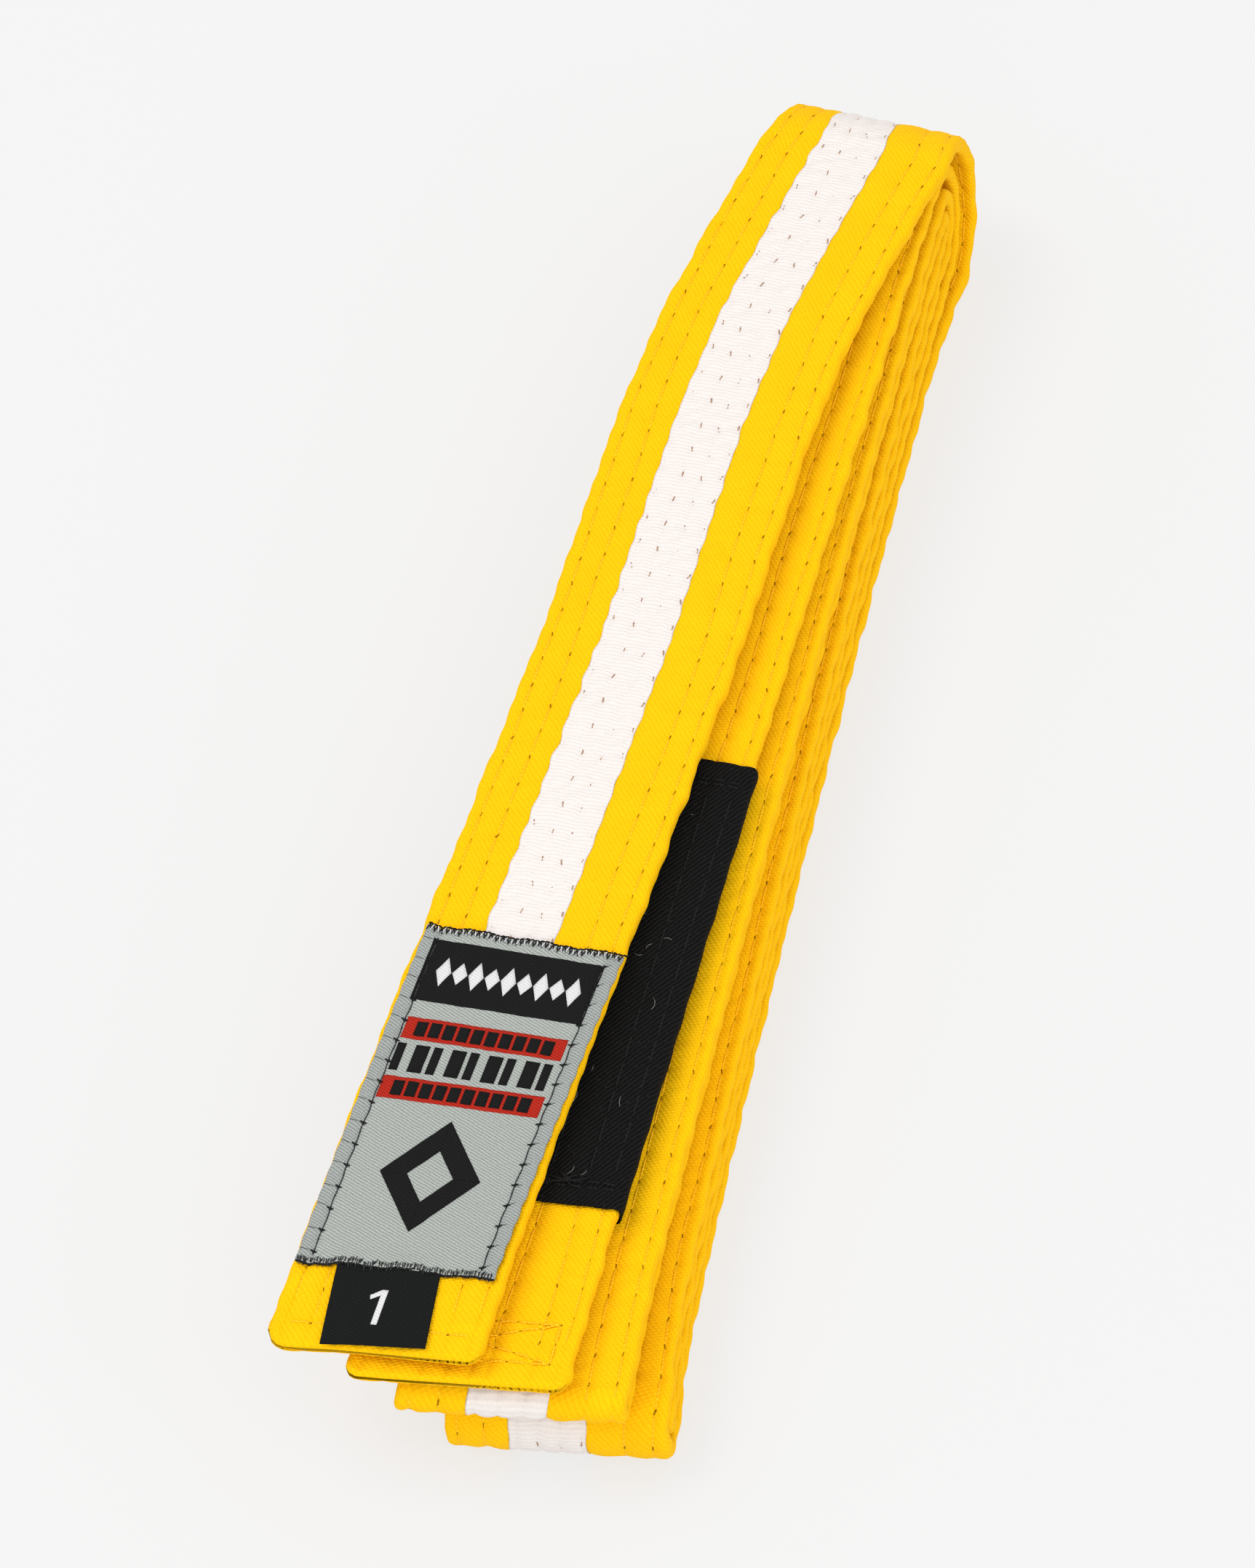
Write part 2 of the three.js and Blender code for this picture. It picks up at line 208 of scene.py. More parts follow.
# The top layer's sideways wander, in mm, at distances back from end A.
WANDER_AT = (0, 60, 115, 165, 190, 222, 250, 270, 285, 300, 335, 375)
WANDER_MM = (0, 0.8, 1.5, 1.4, 0.2, -1.4, -1.3, 0.4, 1.8, 3.0, 2.2, 0)
DROOP_MM = 1.3  # end A hangs a little
CORNER_DROOP_MM = 1.8  # and its left corner, with nothing under it, hangs more


def place(s, u, v):
    """Flat belt coordinates in mm to a point of the bundle in metres."""
    x, y, z, ny, nz, shift, skew, left, right = (np.interp(s, along, stations[:, k]) for k in range(9))
    size = np.hypot(ny, nz)
    from_end = BELT_LENGTH - s
    x = x + u + np.interp(from_end, WANDER_AT, WANDER_MM)
    x = x + right * np.clip(u / HALF_WIDTH, 0, 1) - left * np.clip(-u / HALF_WIDTH, 0, 1)
    y = y + v * ny / size + shift + skew * u
    hang = np.exp(-np.maximum(from_end, 0) / 14.0) * (from_end < 250)
    corner = np.exp(-np.maximum(from_end, 0) / 30.0) * (from_end < 250)
    z = z + v * nz / size - DROOP_MM * hang - CORNER_DROOP_MM * corner * np.clip((-2 - u) / 17, 0, 1) ** 1.5
    return np.stack([x + row_x0, y + row_y0, z], -1) * MM


def s_at(layer, y):
    """Distance along the belt where it passes y on a layer."""
    rows = np.where(stations[:, 9] == layer)[0]
    return float(along[rows[np.argmin(np.abs(stations[rows, 1] - y))]])


# %% [markdown]
# ## Camera, floor and light
# The camera stands near the bundle's cut ends, 52 degrees above the table, with a long lens.
# The floor is plain and pale, and three large soft lamps light it evenly.

# %% Camera
CAMERA_AZIMUTH = math.radians(-13.03)
CAMERA_ELEVATION = math.radians(52)
CAMERA_ROLL = math.radians(-0.84)
CAMERA_DISTANCE = 1426.5
CAMERA_LENS = 173.539
target = np.array([-16.9 + row_x0, 142.8 + row_y0, 20.0]) * MM
look = np.array(
    [
        math.sin(CAMERA_AZIMUTH) * math.cos(CAMERA_ELEVATION),
        math.cos(CAMERA_AZIMUTH) * math.cos(CAMERA_ELEVATION),
        -math.sin(CAMERA_ELEVATION),
    ]
)
level = np.array([math.cos(CAMERA_AZIMUTH), -math.sin(CAMERA_AZIMUTH), 0.0])
upward = np.cross(level, look)
right = level * math.cos(CAMERA_ROLL) + upward * math.sin(CAMERA_ROLL)
up = upward * math.cos(CAMERA_ROLL) - level * math.sin(CAMERA_ROLL)
camera_data = bpy.data.cameras.new("camera")
camera_data.sensor_width = 36.0
camera_data.lens = CAMERA_LENS
camera_data.clip_end = 20.0
camera = bpy.data.objects.new("camera", camera_data)
bpy.context.scene.collection.objects.link(camera)
turned = Matrix([right, up, -look]).transposed().to_4x4()
camera.matrix_world = Matrix.Translation(target - look * CAMERA_DISTANCE * MM) @ turned
bpy.context.scene.camera = camera
print("lens, mm:", round(camera_data.lens, 1))

# %% Floor and light
scene = bpy.context.scene
scene.view_settings.view_transform = "Standard"
scene.view_settings.look = "None"


def linear(hex_colour):
    """An sRGB hex colour as linear RGBA."""
    parts = [int(hex_colour[i : i + 2], 16) / 255 for i in (0, 2, 4)]
    return [c / 12.92 if c <= 0.04045 else ((c + 0.055) / 1.055) ** 2.4 for c in parts] + [1.0]


FLOOR_WHITE = 0.16
FLOOR_GLOW = 0.70
bpy.ops.mesh.primitive_plane_add(size=6.0, location=(0, 0, -0.0003))
floor = bpy.context.object
floor.name = "floor"
floor_paint = bpy.data.materials.new("backlit white acrylic sheet")
floor_paint.use_nodes = True
floor_shader = floor_paint.node_tree.nodes["Principled BSDF"]
floor_shader.inputs["Base Color"].default_value = (FLOOR_WHITE, FLOOR_WHITE, FLOOR_WHITE, 1.0)
floor_shader.inputs["Roughness"].default_value = 0.9
floor_shader.inputs["Specular IOR Level"].default_value = 0.0
floor_shader.inputs["Emission Color"].default_value = (1.0, 1.0, 1.0, 1.0)
floor_shader.inputs["Emission Strength"].default_value = FLOOR_GLOW
floor.data.materials.append(floor_paint)

world = bpy.data.worlds.new("soft studio")
world.use_nodes = True
world.node_tree.nodes["Background"].inputs["Color"].default_value = linear("FFFFFF")
world.node_tree.nodes["Background"].inputs["Strength"].default_value = 0.98
scene.world = world

for lamp_name, place_m, size_m, power in (
    ("key softbox", (-0.9, -0.1, 1.5), 0.9, 10.0),
    ("front softbox", (0.25, -1.6, 0.75), 1.3, 6.5),
    ("right softbox", (1.5, -0.5, 0.9), 0.9, 4.5),
):
    lamp_data = bpy.data.lights.new(lamp_name, "AREA")
    lamp_data.size = size_m
    lamp_data.energy = power
    lamp = bpy.data.objects.new(lamp_name, lamp_data)
    scene.collection.objects.link(lamp)
    lamp.location = place_m
    lamp.rotation_mode = "QUATERNION"
    lamp.rotation_quaternion = (-Vector(place_m)).to_track_quat("-Z", "Y")

# %% [markdown]
# ## Mesh helpers
# A strip of cloth is a grid of points: one ring of points across the belt for each station.
# Its UV map is the cloth's own flat pattern in metres (across, along), so weave and stitches
# stay true to size through every fold.

# %% Grid meshes


def out_and_back(face, under=None):
    """A thin sheet's ring: its face from left to right, then its underside back."""
    under = face if under is None else under
    return np.concatenate([face, under[:, ::-1]], 1)


def new_piece(name, points, faces, uvs=None, materials=(), face_material=None):
    mesh = bpy.data.meshes.new(name)
    mesh.from_pydata(points.tolist(), [], faces)
    for material in materials:
        mesh.materials.append(material)
    if uvs is not None:
        layer = mesh.uv_layers.new(name="flat")
        layer.data.foreach_set("uv", np.asarray(uvs, np.float32).ravel())
    if face_material is not None:
        mesh.polygons.foreach_set("material_index", np.asarray(face_material, np.int32))
    mesh.polygons.foreach_set("use_smooth", np.array([len(face) < 7 for face in faces]))
    mesh.validate()
    mesh.update()
    piece = bpy.data.objects.new(name, mesh)
    scene.collection.objects.link(piece)
    return piece


def tube_grid(points, across, lengthwise, caps=True):
    """Faces and UVs of a closed ring swept along: points has the shape (stations, ring, 3)."""
    count, ring = points.shape[:2]
    i, j = np.meshgrid(np.arange(count - 1), np.arange(ring), indexing="ij")
    k = (j + 1) % ring
    quads = np.stack([i * ring + j, (i + 1) * ring + j, (i + 1) * ring + k, i * ring + k], -1)
    faces = quads.reshape(-1, 4).tolist()
    edge = np.append(across, across[-1] + (across[-1] - across[-2]))
    su, sv = edge * MM, lengthwise * MM
    uv = np.stack(
        [
            np.stack([su[j], sv[i]], -1),
            np.stack([su[j], sv[i + 1]], -1),
            np.stack([su[j + 1], sv[i + 1]], -1),
            np.stack([su[j + 1], sv[i]], -1),
        ],
        2,
    ).reshape(-1, 2)
    uvs = [uv]
    if caps:
        faces.append(list(range(ring)))
        uvs.append(np.stack([su[:-1], np.full(ring, sv[0])], -1))
        faces.append([(count - 1) * ring + q for q in range(ring)][::-1])
        uvs.append(np.stack([su[:-1][::-1], np.full(ring, sv[-1])], -1))
    return faces, np.concatenate(uvs)


# %% [markdown]
# ## The quilted cover
# Eight rows of lockstitch run the whole length: two on each coloured side and four under the white
# tape. Each row pulls the two faces together, the batting swells between the rows, and every needle
# hole makes a small dimple. The cloth between two rows is a little too long, so it puckers into
# slanting ripples. All of that is one height for each face at (along, across).

# %% Height of the cloth
ROWS = np.array([-16.3, -11.8, -6.4, -2.4, 1.4, 5.0, 11.9, 16.5])
ROW_PITCH = 6.4
END_SEAM = 4.6  # a seam across each end, mm from the cut
TAPE = (-7.5, 5.7)  # the white tape's two edges
TAPE_PRESS = 0.14  # the cloth lies this much lower under the tape
CREASE_HEIGHT = 1.46  # half thickness at a stitch row
MOST_HEIGHT = 2.04  # and at the top of the fullest pillow
PILLOW_EDGE = 18.9  # where the outer pillows end, from the belt's middle
RIPPLE, RIPPLE_LENGTH = 0.17, 3.3  # puckers between two rows
HOLE_DIMPLE = 0.26
SEAM_DIMPLE = 0.3
chance = np.random.default_rng(8)
row_phase = chance.uniform(0, ROW_PITCH, len(ROWS))
row_phase[3] = row_phase[2] + 1.2
row_phase[4] = row_phase[2] + 1.6


def wander(s, seed, wavelength):
    """Smooth noise along the belt, about -1 to 1."""
    dice = np.random.default_rng(seed)
    total = 0.0
    for _ in range(5):
        length = wavelength * dice.uniform(0.65, 1.6)
        total = total + np.sin(2 * math.pi * s / length + dice.uniform(0, 7)) * dice.uniform(0.3, 0.7)
    return total / 1.6


def row_shift(row, s):
    """How far a hand-guided stitch row strays sideways, in mm."""
    return 0.28 * wander(s, 40 + row, 55.0)


def half_height(s, u, face):
    """Half thickness of the padded belt at (along, across) on the striped face 0 or the plain face 1."""
    height = np.full(np.broadcast(s, u).shape, CREASE_HEIGHT)
    bounds = [-PILLOW_EDGE] + list(ROWS) + [PILLOW_EDGE]
    for k in range(len(bounds) - 1):
        low = bounds[k] + (row_shift(k - 1, s) if k > 0 else 0)
        high = bounds[k + 1] + (row_shift(k, s) if k < len(ROWS) else 0)
        t = np.clip((u - low) / (high - low), 0, 1)
        swell = (4 * t * (1 - t)) ** 0.6
        full = min(0.38, 0.07 * (bounds[k + 1] - bounds[k]) + 0.04)
        slant = 0.55 * (u - low)
        turn = 2.2 * wander(s, 60 + 2 * k + face, 23.0)
        ripple = np.sin(2 * math.pi * (s + slant) / RIPPLE_LENGTH + turn)
        ripple = ripple * (0.55 + 0.45 * wander(s, 90 + 2 * k + face, 31.0))
        uneven = 0.05 * wander(s, 120 + 2 * k + face, 17.0)
        height = height + swell * (full + RIPPLE * ripple + uneven)
    for k, row in enumerate(ROWS):
        off = (s - row_phase[k] + ROW_PITCH / 2) % ROW_PITCH - ROW_PITCH / 2
        near = np.exp(-(((u - row - row_shift(k, s)) / 0.75) ** 2) - (off / 1.0) ** 2)
        height = height - HOLE_DIMPLE * near
    from_cut = np.minimum(np.abs(s), np.abs(BELT_LENGTH - s))
    height = height - SEAM_DIMPLE * np.exp(-(((from_cut - END_SEAM) / 0.8) ** 2))
    return np.minimum(height, MOST_HEIGHT)


EDGE_POINTS = 7
FACE_EDGE = 17.7
face_u = np.concatenate([np.linspace(-FACE_EDGE, FACE_EDGE, 27), ROWS, ROWS - 0.45, ROWS + 0.45])
face_u = np.sort(face_u)
edge_angle = np.linspace(math.pi / 2, -math.pi / 2, EDGE_POINTS + 2)[1:-1]


def rounded_ring(flat_u, top, low, left_edge, right_edge):
    """Ring points of a flat tube: over the striped face, round the right edge, and back."""
    side_u = flat_u[0, -1]
    bend = np.cos(edge_angle)[None, :] ** 0.8
    lift = (np.sign(np.sin(edge_angle)) * np.abs(np.sin(edge_angle)) ** 0.85)[None, :]
    right_u = side_u + (right_edge - side_u) * bend
    left_u = -side_u + (left_edge + side_u) * bend
    right_v = (top[:, -1:] + low[:, -1:]) / 2 + (top[:, -1:] - low[:, -1:]) / 2 * lift
    left_v = (top[:, :1] + low[:, :1]) / 2 - (top[:, :1] - low[:, :1]) / 2 * lift
    u = np.concatenate([flat_u, right_u, flat_u[:, ::-1], left_u], 1)
    v = np.concatenate([top, right_v, low[:, ::-1], left_v], 1)
    return u, v


def belt_ring(s):
    """Ring points (u, v) of the belt at each station, from the left edge over the striped face.
    The points across follow the stitch rows, so that each row keeps its own crease."""
    column = s[:, None]
    shifts = np.array([0 * s] + [row_shift(k, s) for k in range(len(ROWS))] + [0 * s])
    knots = np.concatenate([[-FACE_EDGE], ROWS, [FACE_EDGE]])
    spread = np.stack([face_u + np.interp(face_u, knots, shifts[:, i]) for i in range(len(s))])
    under_tape = np.clip(np.minimum(spread - TAPE[0], TAPE[1] - spread) / 0.5, 0, 1)
    top = half_height(column, spread, 0) - TAPE_PRESS * under_tape
    low = -half_height(column, spread, 1)
    scallop = 0.10 * np.cos(2 * math.pi * (column - row_phase[7]) / ROW_PITCH)
    right_edge = HALF_WIDTH - 0.1 + scallop + 0.22 * wander(column, 11, 19.0)
    scallop = 0.10 * np.cos(2 * math.pi * (column - row_phase[0]) / ROW_PITCH)
    left_edge = -HALF_WIDTH + 0.1 - scallop + 0.22 * wander(column, 12, 19.0)
    return rounded_ring(spread, top, low, left_edge, right_edge)


def across_of(u, v):
    """Distance round the ring, for the UV map."""
    return np.concatenate([[0], np.cumsum(np.hypot(np.diff(u), np.diff(v)))]) + u[0]


END_PRESS = 5.0  # the last millimetres are sewn flat over the tucked cloth
FLARE = 0.035  # pressed flat, the ends spread a little wider


def stations_between(s_low, s_high):
    """The path's stations in a run, with finer ones next to a cut end."""
    inner = along[(along > s_low + 0.3) & (along < s_high - 0.3)]
    lips = np.array([0.12, 0.35, 0.7])
    fine = np.concatenate([lips, BELT_LENGTH - lips])
    fine = fine[(fine > s_low) & (fine < s_high)]
    return np.unique(np.concatenate([[s_low], inner, fine, [s_high]]))


def cover_grid(s):
    """The cover's points at the given stations, and its (across, height) there."""
    u, v = belt_ring(s)
    spread = np.repeat(s[:, None], u.shape[1], 1)
    for end, other, radii in ((0.0, 1.0, (2.6, 2.6)), (BELT_LENGTH, -1.0, (4.6, 2.8))):
        depth = (s - end) * other
        if depth.min() > END_PRESS:
            continue
        press = np.clip(depth / END_PRESS, 0, 1)[:, None]
        lip = np.clip(depth / 1.2, 0, 1)[:, None]
        v = v * (0.80 + 0.20 * press) * (0.35 + 0.65 * np.sqrt(lip * (2 - lip)))
        u = u * (1 + FLARE * np.exp(-depth / 12.0)[:, None])
        radius = np.where(u < 0, *radii)
        past = np.clip((np.abs(u) - HALF_WIDTH + radius) / radius, 0, 1)
        pull = radius * (1 - np.sqrt(1 - past**2)) * 0.8
        spread = spread + other * pull * np.exp(-depth / 5.0)[:, None]
    return place(spread, u, v), u, v


def match_normals(piece, points_of, cut_stations):
    """Where two runs meet, both get the same normals, so that no line shows between them."""
    normals = np.zeros((len(piece.data.vertices), 3))
    for rows, s in cut_stations:
        before, here, after = points_of(np.array([s - 0.4, s, s + 0.4]))
        normal = np.cross(after - before, np.roll(here, -1, 0) - np.roll(here, 1, 0))
        normals[rows] = normal / np.linalg.norm(normal, axis=1, keepdims=True)
    piece.data.normals_split_custom_set_from_vertices(normals.tolist())


def joints_of(count, ring, s_low, s_high):
    """The first and last ring of a run, unless they are the belt's own cut ends."""
    joints = []
    if s_low > 2:
        joints.append((slice(0, ring), s_low))
    if s_high < BELT_LENGTH - 2:
        joints.append((slice((count - 1) * ring, count * ring), s_high))
    return joints


def cover_piece(name, s_low, s_high):
    """One run of the cover as a closed quilted tube."""
    s = stations_between(s_low, s_high)
    points, u, v = cover_grid(s)
    faces, uvs = tube_grid(points, across_of(u[len(s) // 2], v[len(s) // 2]), s)
    piece = new_piece(name, points.reshape(-1, 3), faces, uvs, [belt_twill])
    match_normals(piece, lambda at: cover_grid(at)[0], joints_of(*u.shape, s_low, s_high))
    return piece


# %% [markdown]
# ## Cloth materials
# Woven cloth shows its yarns first as relief. A twill's yarns step sideways row by row, which gives
# slanting ridges; a plain tape shows straight cross ribs. Both patterns are drawn on the flat UV map
# from the real yarn spacing. One helper adds a node with its settings and links.

# %% Node helper


def add_node(material, kind, settings=None, **links):
    """Adds a node; settings are its properties or socket values, links go socket name = source socket."""
    tree = material.node_tree
    node = tree.nodes.new(kind)
    for key, value in (settings or {}).items():
        if hasattr(node, key):
            setattr(node, key, value)
        else:
            node.inputs[int(key[1:]) if key[0] == "#" else key].default_value = value
    for key, source in links.items():
        socket = node.inputs[int(key[1:])] if key[0] == "_" else node.inputs[key.replace("_", " ")]
        tree.links.new(source, socket)
    return node


def new_cloth(name, hex_colour, roughness):
    """A cloth's material, its shader and its flat map. Matt yarns have little gloss of their own."""
    material = bpy.data.materials.new(name)
    material.use_nodes = True
    shader = material.node_tree.nodes["Principled BSDF"]
    shader.inputs["Base Color"].default_value = linear(hex_colour)
    shader.inputs["Roughness"].default_value = roughness
    shader.inputs["Specular IOR Level"].default_value = 0.08
    uv = add_node(material, "ShaderNodeUVMap", {"uv_map": "flat"}).outputs[0]
    return material, shader, uv


def yarn_waves(material, uv, turn, spacing_mm):
    """A ribbed pattern on the flat map: turn is the ribs' direction in degrees from straight across."""
    angle = math.radians(turn)
    along_ribs = (math.sin(angle), math.cos(angle), 0.0)
    dot = add_node(material, "ShaderNodeVectorMath", {"operation": "DOT_PRODUCT", "#1": along_ribs}, _0=uv)
    phase = add_node(
        material,
        "ShaderNodeMath",
        {"operation": "MULTIPLY", "#1": 2 * math.pi / (spacing_mm * MM)},
        _0=dot.outputs["Value"],
    )
    return phase.outputs[0]


def sine_of(material, phase, extra=None):
    if extra is not None:
        phase = add_node(material, "ShaderNodeMath", {"operation": "ADD"}, _0=phase, _1=extra).outputs[0]
    return add_node(material, "ShaderNodeMath", {"operation": "SINE"}, _0=phase).outputs[0]


def cloth_noise(material, uv, scale_per_m, detail=2.0):
    node = add_node(material, "ShaderNodeTexNoise", {"Scale": scale_per_m, "Detail": detail}, Vector=uv)
    return node.outputs["Fac"]


def scaled(material, value, factor, offset=0.0):
    node = add_node(
        material, "ShaderNodeMath", {"operation": "MULTIPLY_ADD", "#1": factor, "#2": offset}, _0=value
    )
    return node.outputs[0]


def summed(material, first, second):
    return add_node(material, "ShaderNodeMath", {"operation": "ADD"}, _0=first, _1=second).outputs[0]


def finish_cloth(material, shader, relief, depth_mm, tone, dark, light):
    """Relief in mm as bump, and a tone from 0 to 1 mixed between two colours."""
    bump = add_node(
        material, "ShaderNodeBump", {"Strength": 1.0, "Distance": depth_mm * MM}, Height=relief
    )
    ramp = add_node(material, "ShaderNodeValToRGB", {}, Fac=tone)
    ramp.color_ramp.elements[0].color = linear(dark)
    ramp.color_ramp.elements[1].color = linear(light)
    material.node_tree.links.new(bump.outputs["Normal"], shader.inputs["Normal"])
    material.node_tree.links.new(ramp.outputs["Color"], shader.inputs["Base Color"])


# %% Yellow cotton twill
belt_twill, twill_shader, twill_uv = new_cloth("dyed cotton twill", "FDBC05", 0.85)
twill_wobble = scaled(belt_twill, cloth_noise(belt_twill, twill_uv, 260.0), 5.0)
twill_ribs = sine_of(belt_twill, yarn_waves(belt_twill, twill_uv, -48, 0.85), twill_wobble)
twill_yarns = sine_of(belt_twill, yarn_waves(belt_twill, twill_uv, 20, 0.6), twill_wobble)
twill_fuzz = cloth_noise(belt_twill, twill_uv, 2600.0, 3.0)
twill_shade_patches = cloth_noise(belt_twill, twill_uv, 150.0, 2.0)
twill_relief = summed(
    belt_twill,
    summed(belt_twill, scaled(belt_twill, twill_ribs, 0.38), scaled(belt_twill, twill_yarns, 0.25)),
    scaled(belt_twill, twill_fuzz, 1.1),
)
# The tone is lighter on the raised ribs and darker, more orange, in their valleys: painted shade. Its broad
# patches are painted shade of the cloth's soft puffs; its fine fuzz varies at random.
twill_tone_and_shade = summed(
    belt_twill,
    scaled(belt_twill, twill_ribs, 0.16, 0.06),
    summed(belt_twill, scaled(belt_twill, twill_fuzz, 0.55), scaled(belt_twill, twill_shade_patches, 0.35)),
)
finish_cloth(belt_twill, twill_shader, twill_relief, 0.11, twill_tone_and_shade, "F0AE00", "FCC908")

# %% [markdown]
# ## White tape, threads and label cloths
# The tape is a plain weave: its thick cross yarns make fine ribs straight across the belt. Sewing
# thread is two plies twisted together, so it carries slanting stripes along its length. The label is a
# polyester damask: smooth satin with fine slanting lines, and only its yarns' colour changes from field
# to field. The tag is a dense black ribbon, and the sleeve the same twill as the belt, dyed black.

# %% White cotton tape
white_tape, tape_shader, tape_uv = new_cloth("white cotton tape", "D8D0CC", 0.88)
tape_wobble = scaled(white_tape, cloth_noise(white_tape, tape_uv, 220.0, 1.0), 9.0)
tape_ribs = sine_of(white_tape, yarn_waves(white_tape, tape_uv, 0, 0.85), tape_wobble)
tape_yarns = sine_of(white_tape, yarn_waves(white_tape, tape_uv, 90, 0.55), tape_wobble)
tape_fuzz = cloth_noise(white_tape, tape_uv, 2600.0, 3.0)
tape_relief = summed(
    white_tape,
    summed(white_tape, scaled(white_tape, tape_ribs, 0.6), scaled(white_tape, tape_yarns, 0.12)),
    scaled(white_tape, tape_fuzz, 0.9),
)
tape_tone = summed(white_tape, scaled(white_tape, tape_ribs, 0.16, 0.2), scaled(white_tape, tape_fuzz, 0.9))
finish_cloth(white_tape, tape_shader, tape_relief, 0.07, tape_tone, "D4CBC6", "E5DFDB")


# %% Threads
def twisted_thread(name, dark, light, roughness=0.6):
    """Two-ply sewing thread: slanting stripes on a map that runs round and along each stitch."""
    material, shader, uv = new_cloth(name, light, roughness)
    plies = sine_of(material, yarn_waves(material, uv, 40, 0.5))
    fuzz = cloth_noise(material, uv, 3000.0)
    relief = summed(material, plies, fuzz)
    tone = summed(material, scaled(material, plies, 0.3, 0.3), scaled(material, fuzz, 0.4))
    finish_cloth(material, shader, relief, 0.04, tone, dark, light)
    return material


yellow_thread = twisted_thread("yellow polyester thread", "F0A800", "FFD028")
# The threads that dive into needle holes are darkened: painted shade of the hole over the thread's own
# colour.
hole_shaded_thread = twisted_thread("yellow thread darkened with painted needle-hole shade", "785200", "B4820A")
hole_shaded_tape_thread = twisted_thread("thread in a tape needle hole, darkened with painted shade", "98705A", "C0A08A")
black_thread = twisted_thread("black polyester thread", "0E0E0E", "262626")
white_thread = twisted_thread("white polyester thread", "B9B9B9", "E6E6E6")
grey_thread = twisted_thread("charcoal polyester thread", "1E1F1F", "4A4C4C")


# %% Label, tag and sleeve cloths
def damask(name, dark, light, depth_mm=0.035):
    """Satin damask: fine slanting lines half a millimetre apart."""
    material, shader, uv = new_cloth(name, light, 0.7)
    wobble = scaled(material, cloth_noise(material, uv, 500.0), 2.5)
    lines = sine_of(material, yarn_waves(material, uv, -25, 0.55), wobble)
    picks = sine_of(material, yarn_waves(material, uv, 65, 0.42), wobble)
    fuzz = cloth_noise(material, uv, 3000.0, 3.0)
    relief = summed(
        material,
        summed(material, scaled(material, lines, 0.55), scaled(material, picks, 0.35)),
        scaled(material, fuzz, 0.8),
    )
    yarns = summed(material, scaled(material, lines, 0.26, 0.1), scaled(material, picks, 0.14))
    tone = summed(material, yarns, scaled(material, fuzz, 0.8))
    finish_cloth(material, shader, relief, depth_mm, tone, dark, light)
    return material


label_cloth = damask("silver grey polyester damask", "727672", "B6BBB6")
label_margin = damask("silver grey damask, worn at a fold", "6C706E", "B0B5B2", 0.06)
black_damask = damask("black polyester damask", "080808", "1C1C1C")
red_damask = damask("red polyester damask", "84170C", "B92C1C")
white_damask = damask("white polyester damask", "BDBDBD", "DEDEDE")
tag_ribbon = damask("black satin ribbon", "080909", "1A1B1B")


def black_twill(name):
    """Black cotton twill with a few pale specks painted into its tone: painted highlights where small
    puckers catch the light.
    """
    material, shader, uv = new_cloth(name, "141414", 0.9)
    wobble = scaled(material, cloth_noise(material, uv, 260.0), 4.0)
    ribs = sine_of(material, yarn_waves(material, uv, 55, 0.8), wobble)
    fuzz = cloth_noise(material, uv, 2400.0, 3.0)
    # The pale specks are painted highlights of small puckers.
    pucker_glint_noise = cloth_noise(material, uv, 1500.0, 1.0)
    limits = {"From Min": 0.66, "From Max": 0.76}
    pucker_glints = add_node(material, "ShaderNodeMapRange", limits, Value=pucker_glint_noise).outputs[0]
    relief = summed(material, scaled(material, ribs, 0.7), scaled(material, fuzz, 1.2))
    base = summed(material, scaled(material, ribs, 0.22, 0.10), scaled(material, fuzz, 0.5))
    tone = summed(material, base, scaled(material, pucker_glints, 0.9))
    finish_cloth(material, shader, relief, 0.13, tone, "010101", "232323")
    return material


sleeve_twill = black_twill("black cotton twill")
lint = twisted_thread("pale lint", "6F6F6F", "9A9A9A")

# %% [markdown]
# ## The belt's five runs
# The belt is one strip, but its pages lift on three bend lines. Each lifting page reaches past its
# bend line, close to the far turns.

# %% Cover runs
PAST_BEND = far_y - 6.0
cuts = {
    "end_b": (0.0, s_at(2, PAST_BEND)),
    "middle_run": (s_at(2, PAST_BEND), s_at(3, PAST_BEND)),
    "middle_fold": (s_at(3, PAST_BEND), s_at(4, PAST_BEND)),
    "lower_run": (s_at(4, PAST_BEND), s_at(1, PAST_BEND)),
    "end_a": (s_at(1, PAST_BEND), BELT_LENGTH),
}
run_body = {
    "end_b": "end_b_page",
    "middle_run": "bundle",
    "middle_fold": "middle_fold",
    "lower_run": "bundle",
    "end_a": "end_a_page",
}


def ride_run(piece, run):
    """A page's run keeps its place, baked into its mesh; the other runs ride on the bundle."""
    body = run_body[run]
    if body == "bundle":
        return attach(piece, "bundle")
    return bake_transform(piece)


for run, (s_low, s_high) in cuts.items():
    cover = cover_piece("padded_cover_" + run, s_low, s_high)
    ride_run(cover, run)
    hidden = ["cover_" + run, "core_" + run] + [run + "_tuck"] * run.startswith("end_")
    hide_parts(*hidden)
    print(cover.name, len(cover.data.polygons), "faces")

# %% [markdown]
# ## The white tape
# A woven tape is sewn down the middle of one face before the belt is closed. It is a thin strip that
# lies on the quilted cloth, and its edges pull in at every stitch.

# %% Tape runs


